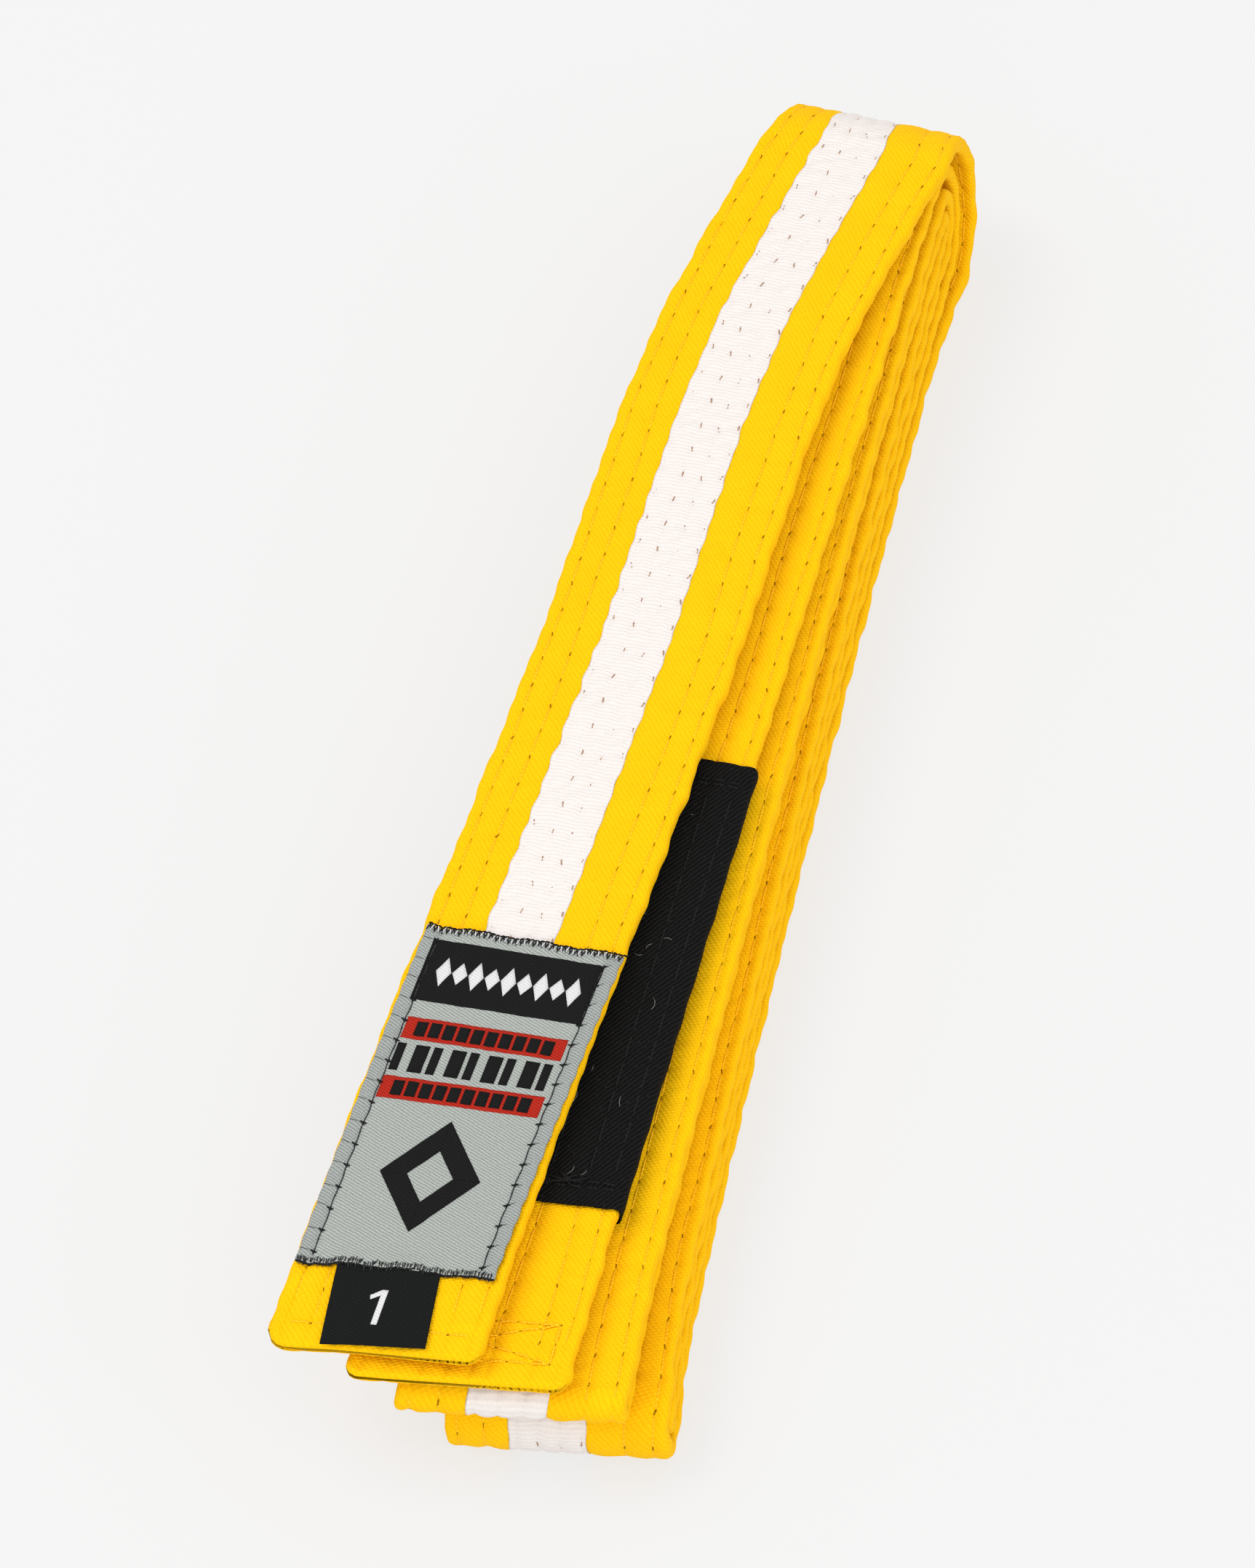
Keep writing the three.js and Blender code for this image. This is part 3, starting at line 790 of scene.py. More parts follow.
def tape_grid(s):
    """The tape's points at the given stations: its upper side left to right, then its lower one back."""
    s = s[:, None]
    pull = 0.13 * np.cos(2 * math.pi * (s - row_phase[2]) / ROW_PITCH)
    left = TAPE[0] + pull + 0.13 * wander(s, 21, 9.0)
    pull = 0.13 * np.cos(2 * math.pi * (s - row_phase[5]) / ROW_PITCH)
    right = TAPE[1] - pull + 0.13 * wander(s, 22, 9.0)
    share = np.linspace(0, 1, 33)[None, :]
    u_top = left + (right - left) * share
    curl = np.exp(-np.minimum(share, 1 - share) / 0.012)
    v_top = half_height(s, u_top, 0) + 0.09 - 0.07 * curl
    u_low = left + 0.1 + (right - left - 0.2) * np.linspace(0, 1, 9)[None, :]
    v_low = half_height(s, u_low, 0) - 0.11
    u, v = out_and_back(u_top, u_low), out_and_back(v_top, v_low)
    return place(s, u, v), u, v


def tape_piece(name, s_low, s_high):
    s = stations_between(max(s_low, 1.2), min(s_high, BELT_LENGTH - 1.2))
    points, u, v = tape_grid(s)
    faces, uvs = tube_grid(points, across_of(u[len(s) // 2], v[len(s) // 2]), s)
    piece = new_piece(name, points.reshape(-1, 3), faces, uvs, [white_tape])
    match_normals(piece, lambda at: tape_grid(at)[0], joints_of(*u.shape, s_low, s_high))
    return piece


for run, (s_low, s_high) in cuts.items():
    tape = tape_piece("white_tape_" + run, s_low, s_high)
    ride_run(tape, run)
    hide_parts("stripe_" + run)
    print(tape.name, len(tape.data.polygons), "faces")

# %% [markdown]
# ## Sewing
# A lockstitch shows a short length of thread, then a needle hole, all along. One short tapered tube
# stands for each length of thread, and a smaller one, darkened with painted shade of the hole, for the
# thread that dives into each hole.
# All the stitches of a run make one mesh. Each is drawn flat, and placed by the same rule as the cloth.

# %% Stitch helper


def height_on(s, u, face):
    """Signed height of a face at flat points of any shape."""
    height = half_height(s.reshape(-1, 1), u.reshape(-1, 1), face)
    return height.reshape(s.shape) * (1 if face == 0 else -1)


def thread_tubes(s, u, v, half_width, half_height_mm, ring=5, taper=0.45):
    """Points, faces and UVs of many short tubes; s, u, v have the shape (threads, points)."""
    threads, count = s.shape
    step_s, step_u = np.gradient(s, axis=1), np.gradient(u, axis=1)
    size = np.hypot(step_s, step_u) + 1e-9
    angle = -2 * math.pi * np.arange(ring) / ring
    narrow = np.ones(count)
    narrow[[0, -1]] = taper
    wide = (half_width * narrow[:, None] * np.cos(angle))[None]
    high = (half_height_mm * narrow[:, None] * np.sin(angle))[None]
    all_s = s[..., None] - (step_u / size)[..., None] * wide
    all_u = u[..., None] + (step_s / size)[..., None] * wide
    points = place(all_s, all_u, v[..., None] + high).reshape(-1, 3)
    i, j = np.meshgrid(np.arange(count - 1), np.arange(ring), indexing="ij")
    k = (j + 1) % ring
    one = np.stack([i * ring + j, (i + 1) * ring + j, (i + 1) * ring + k, i * ring + k], -1).reshape(-1, 4)
    caps = [list(range(ring)), [(count - 1) * ring + q for q in range(ring)][::-1]]
    round_mm = 2 * half_width
    length = np.concatenate([[0], np.cumsum(size[0, 1:])])
    uv_one = np.stack(
        [
            np.stack([(j + a) * round_mm / ring, length[i + b]], -1)
            for a, b in ((0, 0), (0, 1), (1, 1), (1, 0))
        ],
        2,
    ).reshape(-1, 2)
    uv_caps = np.zeros((2 * ring, 2))
    faces, base = [], count * ring
    for n in range(threads):
        faces += (one + n * base).tolist()
        faces += [[q + n * base for q in cap] for cap in caps]
    uvs = np.tile(np.concatenate([uv_one, uv_caps]), (threads, 1)) * MM
    return points, faces, uvs


def sewn_piece(name, groups, materials):
    """One mesh from several groups of (points, faces, uvs, material index)."""
    points, faces, uvs, painted, start = [], [], [], [], 0
    for group_points, group_faces, group_uvs, index in groups:
        points.append(group_points)
        faces += [[q + start for q in face] for face in group_faces]
        uvs.append(group_uvs)
        painted += [index] * len(group_faces)
        start += len(group_points)
    return new_piece(name, np.concatenate(points), faces, np.concatenate(uvs), materials, painted)


# %% Lengthwise rows
DASH_AT = np.array([0.0, 0.07, 0.3, 0.7, 0.93, 1.0])


def row_stitches(s_low, s_high):
    """Thread lengths and needle points of the eight rows, on both faces, within one run."""
    groups = []
    dice = np.random.default_rng(int(s_low) + 3)
    for row, across in enumerate(ROWS):
        first = math.ceil((s_low - row_phase[row]) / ROW_PITCH)
        last = math.ceil((s_high - row_phase[row]) / ROW_PITCH)
        holes = row_phase[row] + ROW_PITCH * np.arange(first, last)
        holes = holes[(holes > END_SEAM) & (holes < BELT_LENGTH - END_SEAM - ROW_PITCH)]
        for face in (0, 1):
            on_tape = face == 0 and TAPE[0] < across < TAPE[1]
            side = 1 if face == 0 else -1
            half = 0.58 if on_tape else 0.42
            at = holes + dice.normal(0, 0.12, len(holes))
            s = at[:, None] + half * np.array([-1.0, 0.0, 1.0])
            aslant = dice.normal(0, 0.10, (len(at), 1)) * np.array([[-1.0, 0.0, 1.0]])
            sunk = 0.09 * dice.random((len(at), 1))
            u = across + row_shift(row, s) + aslant
            v = height_on(s, u, face) + side * (0.19 - 0.6 * sunk if on_tape else 0.07 - sunk)
            # The dots in the needle holes use the threads darkened with painted hole shade.
            dots = thread_tubes(s, u, v, 0.22, 0.10)
            groups.append((*dots, 2 if on_tape else 1))
            if on_tape:
                continue
            s = holes[:, None] + 0.4 + (ROW_PITCH - 0.8) * DASH_AT
            u = across + row_shift(row, s)
            v = height_on(s, u, face) + side * np.array([-0.08, 0.06, 0.11, 0.11, 0.06, -0.08])
            groups.append((*thread_tubes(s, u, v, 0.2, 0.13), 0))
    return groups


def straight_dashes(start, end, pitch, face, lift=0.05, gap=0.5):
    """A row of stitches from one flat point to another: its thread lengths and its needle points."""
    start, end = np.array(start, float), np.array(end, float)
    count = max(1, round(np.linalg.norm(end - start) / pitch))
    unit = (end - start) / np.linalg.norm(end - start)
    real_pitch = np.linalg.norm(end - start) / count
    reach = gap / 2 + (real_pitch - gap) * DASH_AT
    spots = (np.arange(count)[:, None] * real_pitch + reach)[..., None] * unit + start
    side = 1 if face == 0 else -1
    s, u = spots[..., 0], spots[..., 1]
    rise = np.array([-0.05, 0.06, lift + 0.06, lift + 0.06, 0.06, -0.05])
    v = height_on(s, u, face) + side * rise
    holes = (np.arange(count + 1)[:, None] * real_pitch + np.array([-0.3, 0, 0.3]))[..., None] * unit + start
    hs, hu = holes[..., 0], holes[..., 1]
    return (s, u, v), (hs, hu, height_on(hs, hu, face))


for run, (s_low, s_high) in cuts.items():
    groups = row_stitches(s_low, s_high)
    if run == "end_a":
        cross = BELT_LENGTH - END_SEAM
        for face in (0, 1):
            dashes, holes = straight_dashes((cross, -16.0), (cross, 16.4), 4.0, face)
            groups.append((*thread_tubes(*dashes, 0.21, 0.13), 0))
            # Its needle points use the thread darkened with painted hole shade.
            groups.append((*thread_tubes(*holes, 0.22, 0.08), 1))
    rows = sewn_piece("lengthwise_stitching_" + run, groups, [yellow_thread, hole_shaded_thread, hole_shaded_tape_thread])
    ride_run(rows, run)
    print(rows.name, len(rows.data.polygons), "faces")

# %% [markdown]
# ## Box stitch at end B
# The open end of the tube is tucked in and sewn shut with a rectangle and its two diagonals,
# a usual way to close webbing or a padded strap.

# %% Box stitch
BOX_NEAR, BOX_FAR, BOX_HALF = END_SEAM, 13.0, 15.2
corners = [(BOX_NEAR, -BOX_HALF), (BOX_NEAR, BOX_HALF), (BOX_FAR, BOX_HALF), (BOX_FAR, -BOX_HALF)]
legs = [(0, 1), (1, 2), (2, 3), (3, 0), (0, 2), (1, 3)]
box_groups = []
for face in (0, 1):
    for a, b in legs:
        dashes, holes = straight_dashes(corners[a], corners[b], 3.6, face, lift=0.16)
        box_groups.append((*thread_tubes(*dashes, 0.21, 0.14), 0))
        # Its needle points use the thread darkened with painted hole shade.
        box_groups.append((*thread_tubes(*holes, 0.13, 0.08), 1))
box_stitch = sewn_piece("box_stitching_end_b", box_groups, [yellow_thread, hole_shaded_thread])
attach(box_stitch, "end_b_page")
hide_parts("end_b_box_stitch")
print("box stitch", len(box_stitch.data.polygons), "faces")

# %% [markdown]
# ## The rank sleeve
# A black twill tube is slipped over the belt near end B, hemmed at both ends and sewn through. It is one
# sheet wrapped round the belt: an outer and an inner surface joined by rolled lips at its two ends.

# %% Sleeve cloth
sleeve_low, sleeve_high = box_mm("rank_sleeve")
SLEEVE_FROM, SLEEVE_TO = sleeve_low[1] - row_y0, sleeve_high[1] - row_y0
HEM = 3.8
SLEEVE_EDGE = 18.3  # where its faces start to turn down, from the belt's middle
sleeve_top_u = np.linspace(-SLEEVE_EDGE, SLEEVE_EDGE, 50)


def sleeve_height(s, u, face):
    """Half height of the sleeve's outer face: belt, slack, hems and pressed seams."""
    height = 0.62 * half_height(s, u, face) + 1.22
    from_end = np.minimum(s - SLEEVE_FROM, SLEEVE_TO - s)
    height = height + 0.2 * np.clip((HEM - from_end) / 0.4 + 0.5, 0, 1)
    height = height - 0.25 * np.exp(-(((from_end - HEM - 0.7) / 0.7) ** 2))
    return height + 0.05 * np.sin(2 * math.pi * (s + 0.5 * u) / 3.6 + 2 * wander(s, 300 + face, 25.0))


def sleeve_ring(s, inward):
    column = s[:, None]
    top = sleeve_height(column, sleeve_top_u[None, :], 0) - inward
    low = -sleeve_height(column, sleeve_top_u[None, :], 1) + inward
    right_edge = HALF_WIDTH + 0.62 + 0.12 * wander(column, 31, 12.0) - inward
    left_edge = -HALF_WIDTH - 0.62 + 0.12 * wander(column, 32, 12.0) + inward
    flat_u = np.repeat(sleeve_top_u[None, :], len(s), 0)
    return rounded_ring(flat_u, top, low, left_edge, right_edge)


outer_s = np.linspace(SLEEVE_FROM, SLEEVE_TO, 150)
inner_s = outer_s[::-3][1:-1]
loop_s = np.concatenate([outer_s, [SLEEVE_TO + 0.12], inner_s, [SLEEVE_FROM - 0.12]])
loop_in = np.concatenate([np.full(len(outer_s), 0.0), [0.22], np.full(len(inner_s), 0.42), [0.22]])
rings = [sleeve_ring(np.array([s]), inward) for s, inward in zip(loop_s, loop_in)]
sleeve_u = np.concatenate([ring[0] for ring in rings])
sleeve_v = np.concatenate([ring[1] for ring in rings])
sleeve_s = np.repeat(loop_s[:, None], sleeve_u.shape[1], 1)
closed = [np.concatenate([grid, grid[:1]]) for grid in (sleeve_s, sleeve_u, sleeve_v)]
sleeve_points = place(*closed)
sleeve_faces, sleeve_uvs = tube_grid(
    sleeve_points, across_of(sleeve_u[40], sleeve_v[40]), closed[0][:, 0], caps=False
)
wrap, ring_size = len(loop_s), sleeve_u.shape[1]
sleeve_faces = [[q % (wrap * ring_size) for q in face] for face in sleeve_faces]
sleeve = new_piece(
    "rank_sleeve_cloth", sleeve_points[:-1].reshape(-1, 3), sleeve_faces, sleeve_uvs, [sleeve_twill]
)
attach(sleeve, "end_b_page")
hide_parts("rank_sleeve")

# %% Sleeve seams, loose thread tails and lint


def on_sleeve(s, u, face, lift):
    side = 1 if face == 0 else -1
    height = sleeve_height(s.reshape(-1, 1), u.reshape(-1, 1), face).reshape(s.shape)
    return side * (height + lift)


def sleeve_dashes(start, end, pitch, face, gap=0.5):
    (s, u, _), _ = straight_dashes(start, end, pitch, face, gap=gap)
    rise = np.array([-0.1, 0.03, 0.08, 0.08, 0.03, -0.1])
    return s, u, on_sleeve(s, u, face, rise)


near_seams, far_seams = [], []
for face in (0, 1):
    for depth in (HEM + 0.4, HEM + 1.5):
        near = sleeve_dashes((SLEEVE_FROM + depth, -17.5), (SLEEVE_FROM + depth, 17.5), 3.0, face)
        far = sleeve_dashes((SLEEVE_TO - depth, -17.5), (SLEEVE_TO - depth, 17.5), 3.0, face)
        near_seams.append((*thread_tubes(*near, 0.2, 0.13), 0))
        far_seams.append((*thread_tubes(*far, 0.2, 0.13), 0))
    for row in (0, 1, 2, 5, 6, 7):
        start = (SLEEVE_FROM + HEM + 4, ROWS[row])
        end = (SLEEVE_TO - HEM - 4, ROWS[row])
        dashes = sleeve_dashes(start, end, ROW_PITCH, face, gap=1.0)
        near_seams.append((*thread_tubes(*dashes, 0.2, 0.12), 0))
tails = np.random.default_rng(21)
t = np.linspace(-1, 1, 7)[None, :]
for turn_deg in (-84, -70, -58, 66, 78, 95):
    angle = math.radians(turn_deg)
    reach = tails.uniform(2.2, 4.4)
    s = SLEEVE_FROM + HEM + 1.4 + tails.uniform(-0.5, 0.5) + reach * math.cos(angle) * t + 0.5 * t**2
    u = tails.uniform(2.5, 9.0) + reach * math.sin(angle) * t + 0.5 * np.sin(2.2 * t)
    v = on_sleeve(s, u, 1, 0.24)
    near_seams.append((*thread_tubes(s, u, v, 0.17, 0.14), 0))
lint_s = tails.uniform(SLEEVE_FROM + 6, SLEEVE_TO - 6, (34, 1))
lint_u = tails.uniform(-17, 17, (34, 1))
lint_turn = tails.uniform(0, 2 * math.pi, (34, 1))
lint_reach = tails.uniform(0.25, 1.5, (34, 1))
bow = tails.uniform(-0.6, 0.6, (34, 1)) * lint_reach * t**2
s = lint_s + lint_reach * np.cos(lint_turn) * t - bow * np.sin(lint_turn)
u = lint_u + lint_reach * np.sin(lint_turn) * t + bow * np.cos(lint_turn)
near_seams.append((*thread_tubes(s, u, on_sleeve(s, u, 1, 0.05), 0.045, 0.045), 1))
for name, groups, node in (
    ("sleeve_seams_and_tails", near_seams, "sleeve_stitch_near"),
    ("sleeve_far_seams", far_seams, "sleeve_stitch_far"),
):
    seams = sewn_piece(name, groups, [black_thread, lint])
    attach(seams, "end_b_page")
    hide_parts(node)
    print(name, len(seams.data.polygons), "faces")

# %% [markdown]
# ## The woven label
# The label is a damask patch. Its side edges are folded under and sewn down a few millimetres in, so the
# margins stand up as soft ridges with a pressed seam beside them. Its far edge is overlocked, and its near
# edge is cut and bound with a fuzzy thread. Its fields are plain shapes woven in black, red and white.

# %% Label surface
label_low, label_high = box_mm("woven_label")
LABEL_NEAR = label_low[1] - row_y0
LABEL_FAR = label_high[1] - row_y0
LABEL_HALF = 18.2
SEAM_AT = 15.4  # the side seams, from the label's middle
KNOT_PITCH = 4.6
CLOTH = 0.36


def label_u(a, y):
    """The label lies a little askew on the belt: its own across position to the belt's."""
    t = (y - LABEL_NEAR) / (LABEL_FAR - LABEL_NEAR)
    return a * (0.98 + 0.03 * t) - 0.6 + 1.3 * t


def bed(s, u):
    """The smoothed surface that the label and tag lie on."""
    height = half_height(s.reshape(-1, 1), u.reshape(-1, 1), 0).reshape(s.shape)
    return 0.3 * height + 1.58


def label_top(y, a):
    """Height of the label's face."""
    s, u = BELT_LENGTH - y, label_u(a, y)
    s, u = np.broadcast_arrays(s, u)
    height = bed(s, u) + CLOTH
    inside = np.abs(a)
    height = height + 0.30 * np.clip((inside - SEAM_AT - 0.2) / 0.7, 0, 1)
    height = height - 0.26 * np.exp(-(((inside - SEAM_AT) / 0.4) ** 2))
    height = height - 0.12 * np.clip((inside - LABEL_HALF + 0.6) / 0.6, 0, 1)
    knots = np.cos(2 * math.pi * (y - LABEL_NEAR) / KNOT_PITCH)
    height = height - 0.07 * knots * (inside > SEAM_AT - 0.8)
    over_tag = np.clip((LABEL_NEAR + 3.4 - y) / 1.6, 0, 1) * np.clip((10.4 - np.abs(a + 1.3)) / 1.4, 0, 1)
    height = height + 0.30 * over_tag
    return height + 0.035 * np.sin(y * 0.9 + 0.5 * a + 2 * np.sin(y * 0.23))


def label_point(y, a, lift=0.0):
    """A point on the label's face, given in the label's own lengths."""
    y, a = np.broadcast_arrays(np.asarray(y, float), np.asarray(a, float))
    return BELT_LENGTH - y, label_u(a, y), label_top(y, a) + lift


def edge_wave(a):
    """How far the label's cut edges stray at each place across it."""
    return 0.22 * np.sin(0.55 * a) + 0.12 * np.sin(1.7 * a + 1)


y = np.linspace(LABEL_FAR, LABEL_NEAR, 190)[:, None]
side_pull = 0.10 * np.cos(2 * math.pi * (y - LABEL_NEAR) / KNOT_PITCH)
a = np.linspace(-1, 1, 84)[None, :] * (LABEL_HALF + side_pull)
near_share = np.clip((LABEL_NEAR + 6 - y) / 6, 0, 1)
far_share = np.clip((y - LABEL_FAR + 6) / 6, 0, 1)
y = y + edge_wave(a) * (near_share + far_share)
s, u, v = label_point(y, a)
ring_s = out_and_back(s)
label_points = place(ring_s, out_and_back(u), out_and_back(v, v - CLOTH))
flat_across = np.concatenate([a[0] + LABEL_HALF, 4 * LABEL_HALF - (a[0, ::-1] + LABEL_HALF)])
label_faces, label_uvs = tube_grid(label_points, flat_across, ring_s[:, 40])
count_across = label_points.shape[1]
in_margin = np.abs(np.concatenate([a[0], a[0, ::-1]])) > SEAM_AT + 0.1
face_paint = [int(in_margin[face[0] % count_across]) if len(face) == 4 else 0 for face in label_faces]
label = new_piece(
    "woven_label_cloth",
    label_points.reshape(-1, 3),
    label_faces,
    label_uvs,
    [label_cloth, label_margin],
    face_paint,
)
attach(label, "end_a_page")
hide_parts("woven_label")
print("label from", round(LABEL_NEAR, 1), "to", round(LABEL_FAR, 1), "mm from end A")

# %% Woven fields


def cloth_quad(surface, corners, cells, rise=0.1, sink=0.05):
    """A thin raised patch with four corners (y, across), in order round it, that follows a surface."""
    corners = np.array(corners, float)
    down, over = (np.linspace(0, 1, n + 1) for n in cells)
    down, over = down[:, None], over[None, :]
    spot = [
        (corners[0, k] * (1 - over) + corners[1, k] * over) * (1 - down)
        + (corners[3, k] * (1 - over) + corners[2, k] * over) * down
        for k in (0, 1)
    ]
    s, u, v = surface(spot[0], spot[1], rise)
    _, _, low = surface(spot[0], spot[1], -sink)
    points = place(out_and_back(s), out_and_back(u), out_and_back(v, low))
    across = np.arange(points.shape[1]) * 0.5
    faces, _ = tube_grid(points, across, s[:, 0])
    flat = np.stack([out_and_back(u), out_and_back(s)], -1).reshape(-1, 2)
    uvs = flat[[q for face in faces for q in face]] * MM
    return points.reshape(-1, 3), faces, uvs


def block(y_low, y_high, a_left, a_right, cells, lean=0.0, **more):
    """A four-cornered field, far side first; lean moves its far side to the right."""
    corners = [(y_high, a_left + lean), (y_high, a_right + lean), (y_low, a_right), (y_low, a_left)]
    return cloth_quad(label_point, corners, cells, **more)


PANEL = (73.7, 87.6, -16.0, 15.6)
BAR_ONE = (65.1, 69.9, -15.0, 14.6)
BAR_TWO = (51.9, 56.7, -15.2, 14.6)
fields = [
    (*block(*PANEL, (28, 64), rise=0.08), 0),
    (*block(*BAR_ONE, (10, 60), rise=0.08), 1),
    (*block(*BAR_TWO, (10, 60), rise=0.08), 1),
]
for k in range(9):  # lozenges across the black panel
    middle = -12.0 + 3.0 * k
    tall = 3.3 if k % 2 == 0 else 2.5
    corners = [(80.6 + tall, middle), (80.6, middle + 1.4), (80.6 - tall, middle), (80.6, middle - 1.4)]
    fields.append((*cloth_quad(label_point, corners, (4, 4), rise=0.17, sink=0.0), 2))
for low in (BAR_ONE[0], BAR_TWO[0]):  # a row of small bricks on each bar
    for k in range(10):
        left = -12.9 + 2.6 * k
        fields.append((*block(low + 0.8, low + 4.0, left, left + 2.0, (3, 3), rise=0.17, sink=0.0), 0))
for k in range(9):  # taller bricks between the bars
    left = -14.9 + 3.38 * k
    fields.append((*block(58.0, 64.0, left, left + (2.6 if k % 2 else 1.6), (4, 3), rise=0.1, sink=0.0), 0))
RING_MIDDLE, RING_TALL, RING_WIDE, RING_BAND = 36.4, 12.2, 9.2, 0.46
outer = [(RING_TALL, 0), (0, RING_WIDE), (-RING_TALL, 0), (0, -RING_WIDE)]
for k in range(4):  # a plain diamond ring
    p, q = np.array(outer[k], float), np.array(outer[(k + 1) % 4], float)
    shape = [p, q, q * RING_BAND, p * RING_BAND]
    corners = [(RING_MIDDLE + c[0], c[1]) for c in shape]
    fields.append((*cloth_quad(label_point, corners, (8, 28), rise=0.1, sink=0.0), 0))
woven = sewn_piece("woven_fields", fields, [black_damask, red_damask, white_damask])
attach(woven, "end_a_page")
print("woven fields", len(fields))

# %% Label seams, knots and edge threads


def label_threads(y, a, lift, half_width, half_high, ring=5):
    """Threads on the label, given in its own lengths."""
    s, u, v = label_point(y, a)
    return thread_tubes(s, u, v + lift, half_width, half_high, ring)


knot_y = LABEL_NEAR + 2.0 + KNOT_PITCH * np.arange(int((LABEL_FAR - LABEL_NEAR - 3) / KNOT_PITCH) + 1)
dice = np.random.default_rng(77)
for side, node in ((-1, "label_stitch_left"), (1, "label_stitch_right")):
    middle = np.array([0.0, 0.1, 0.5, 0.9, 1.0])
    y = knot_y[:-1, None] + 0.3 + (KNOT_PITCH - 0.6) * middle
    lift = 0.06 - 0.1 * np.abs(2 * middle - 1) ** 4
    seam = label_threads(y, side * SEAM_AT + 0.12 * np.sin(y * 0.8), lift, 0.15, 0.12)
    y = knot_y[:, None] + np.linspace(-0.16, 0.16, 3) * side
    spread = np.linspace(-0.62, 0.62, 3)[None, :]
    knots = label_threads(y, side * SEAM_AT + spread, 0.14, 0.26, 0.16)
    y = knot_y[:, None] + np.linspace(-0.55, 0.55, 3)
    cross = label_threads(y, side * SEAM_AT + 0 * y, 0.14, 0.2, 0.14)
    y = knot_y[:, None] + np.linspace(0.0, 0.5, 5) + dice.normal(0, 0.15, (len(knot_y), 1))
    bar_reach = 2.35 if side < 0 else 0.9
    bars = label_threads(y, side * (SEAM_AT + 0.5 + np.linspace(0, bar_reach, 5))[None, :], 0.0, 0.06, 0.08)
    threads = sewn_piece(
        node + "_thread",
        [(*seam, 1), (*knots, 0), (*cross, 0), (*bars, 1)],
        [black_thread, grey_thread],
    )
    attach(threads, "end_a_page")
    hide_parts(node)

across = np.arange(-LABEL_HALF + 0.3, LABEL_HALF - 0.3, 0.38)[:, None]
reach = np.linspace(0, 1, 5)[None, :]
wave = edge_wave(across)
lean = np.where(np.arange(len(across)) % 2 == 0, 0.5, -0.5)[:, None]
y = LABEL_FAR + wave - 1.25 + 1.75 * reach + dice.normal(0, 0.08, (len(across), 1))
roll = -0.42 * np.clip(reach - 0.7, 0, 1) / 0.3
black_half = [k for k in range(len(across)) if k % 3 != 2]
white_half = [k for k in range(len(across)) if k % 3 == 2]
s, u, v = label_point(y, across + lean * (reach - 0.5))
v = v + 0.13 + roll
edge_a = np.arange(-LABEL_HALF, LABEL_HALF, 0.9)[:, None] + np.linspace(0, 1.15, 5)[None, :]
chain_y = LABEL_FAR + 0.42 + edge_wave(edge_a) + 0.1 * np.sin(7 * edge_a)
overlock_groups = [
    (*thread_tubes(s[black_half], u[black_half], v[black_half], 0.13, 0.13), 0),
    (*thread_tubes(s[white_half], u[white_half], v[white_half], 0.13, 0.13), 1),
    (*label_threads(chain_y, edge_a, -0.12, 0.2, 0.2), 0),
]
overlock = sewn_piece("overlock_thread", overlock_groups, [black_thread, white_thread])
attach(overlock, "end_a_page")
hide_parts("label_overlock")

across = np.arange(-LABEL_HALF + 0.2, LABEL_HALF - 0.2, 0.3)[:, None]
wave = edge_wave(across)
y = LABEL_NEAR + wave + 1.0 - reach * 1.45 + dice.normal(0, 0.16, (len(across), 1))
a = across + dice.uniform(-0.5, 0.5, (len(across), 1)) * reach
s, u, v = label_point(y, a)
v = v + 0.08 - 0.5 * np.clip(reach - 0.6, 0, 1) / 0.4
dark = [k for k in range(len(across)) if k % 2 == 0]
pale = [k for k in range(len(across)) if k % 2 == 1]
edge_a = np.arange(-LABEL_HALF, LABEL_HALF - 0.5, 1.1)[:, None] + np.linspace(0, 1.35, 5)[None, :]
edge_y = LABEL_NEAR - 0.12 + edge_wave(edge_a) + 0.08 * np.sin(6 * edge_a)
near_groups = [
    (*thread_tubes(s[dark], u[dark], v[dark], 0.09, 0.09), 0),
    (*thread_tubes(s[pale], u[pale], v[pale], 0.10, 0.09), 1),
    (*label_threads(edge_y, edge_a, -0.22, 0.22, 0.24), 0),
]
near_edge = sewn_piece("label_near_edge_thread", near_groups, [black_thread, grey_thread])
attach(near_edge, "end_a_page")
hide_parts("label_bottom_stitch")
print("knots on each seam:", len(knot_y))

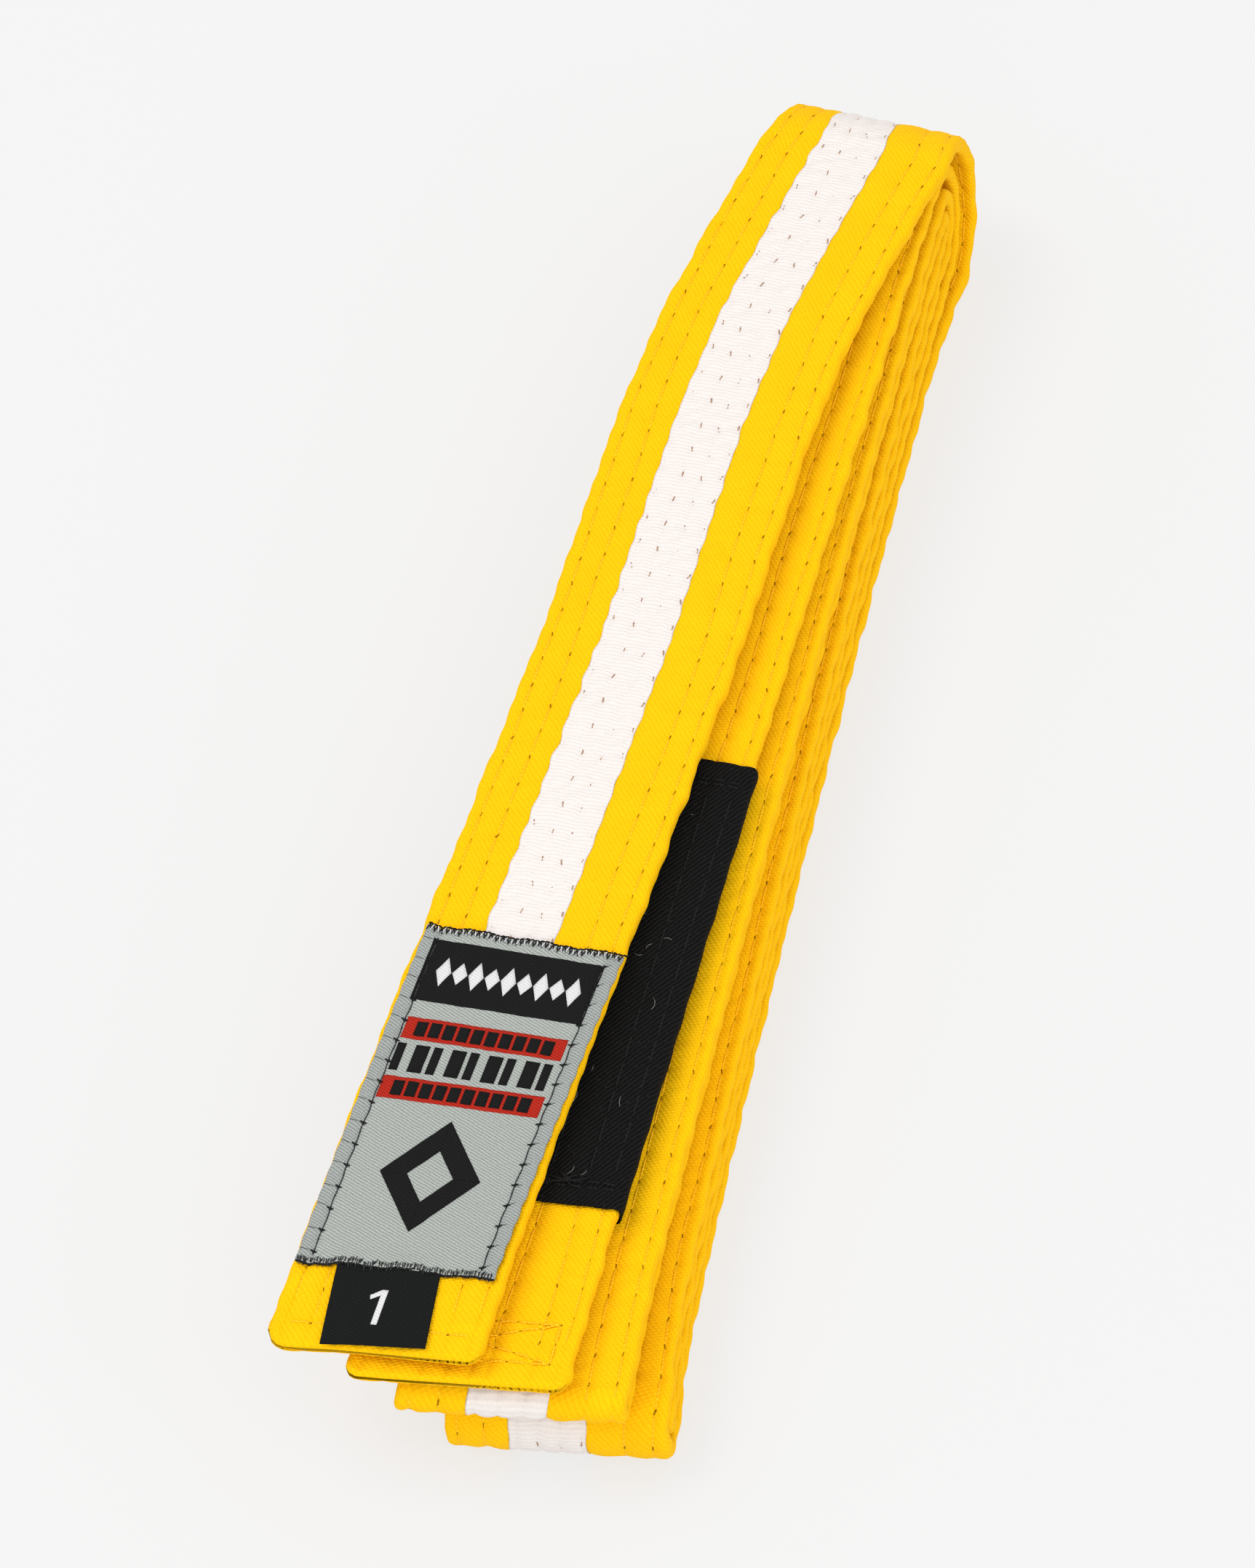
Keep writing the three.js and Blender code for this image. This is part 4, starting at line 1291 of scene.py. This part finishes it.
# %% [markdown]
# ## The size tag
# A short black ribbon is caught under the label's near edge and hangs over the belt's end. Its numeral,
# a plain one, is woven in white. The tag is its own body, so it can be turned up.

# %% Tag
TAG_FAR = LABEL_NEAR + 0.6
TAG_NEAR = 0.2
TAG_HALF = 9.25
RIBBON = 0.3


def tag_point(y, a, lift=0.0):
    """A point on the tag's face: it lies a little askew, and its near edge slants."""
    y, a = np.broadcast_arrays(np.asarray(y, float), np.asarray(a, float))
    t = (TAG_FAR - y) / (TAG_FAR - TAG_NEAR)
    u = a - 1.6 + 1.9 * t
    s = BELT_LENGTH - (y + 0.05 * a * t)
    cling = bed(s, u) * (1 - 0.25 * t) + 1.95 * 0.25 * t
    return s, u, cling + RIBBON + 0.02 + 0.12 * t**2 + 0.04 * np.sin(0.8 * y + 0.3 * a) + lift


y = np.linspace(TAG_FAR, TAG_NEAR, 46)[:, None]
a = np.linspace(-TAG_HALF, TAG_HALF, 48)[None, :]
s, u, v = tag_point(y, a)
ring_s = out_and_back(s)
tag_points = place(ring_s, out_and_back(u), out_and_back(v, v - RIBBON))
flat_across = np.concatenate([a[0] + TAG_HALF, 4 * TAG_HALF - (a[0, ::-1] + TAG_HALF)])
tag_faces, tag_uvs = tube_grid(tag_points, flat_across, ring_s[:, 20])
tag = new_piece("size_tag_ribbon", tag_points.reshape(-1, 3), tag_faces, tag_uvs, [tag_ribbon])
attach(tag, "size_tag")
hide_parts("size_tag")

NUMERAL_AT = (8.0, -0.3)
stem = [(3.6, 0.1), (3.6, 1.15), (-3.6, 0.25), (-3.6, -0.8)]
flag = [(3.6, 0.15), (2.5, 0.1), (1.5, -1.75), (2.3, -1.9)]
numeral_groups = []
for shape in (stem, flag):
    corners = [(NUMERAL_AT[0] + c[0], NUMERAL_AT[1] + c[1]) for c in shape]
    numeral_groups.append((*cloth_quad(tag_point, corners, (12, 4), rise=0.09, sink=0.02), 0))
numeral = sewn_piece("size_numeral", numeral_groups, [white_damask])
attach(numeral, "size_tag")
print("tag, mm:", round(2 * TAG_HALF, 1), "x", round(TAG_FAR - TAG_NEAR, 1))
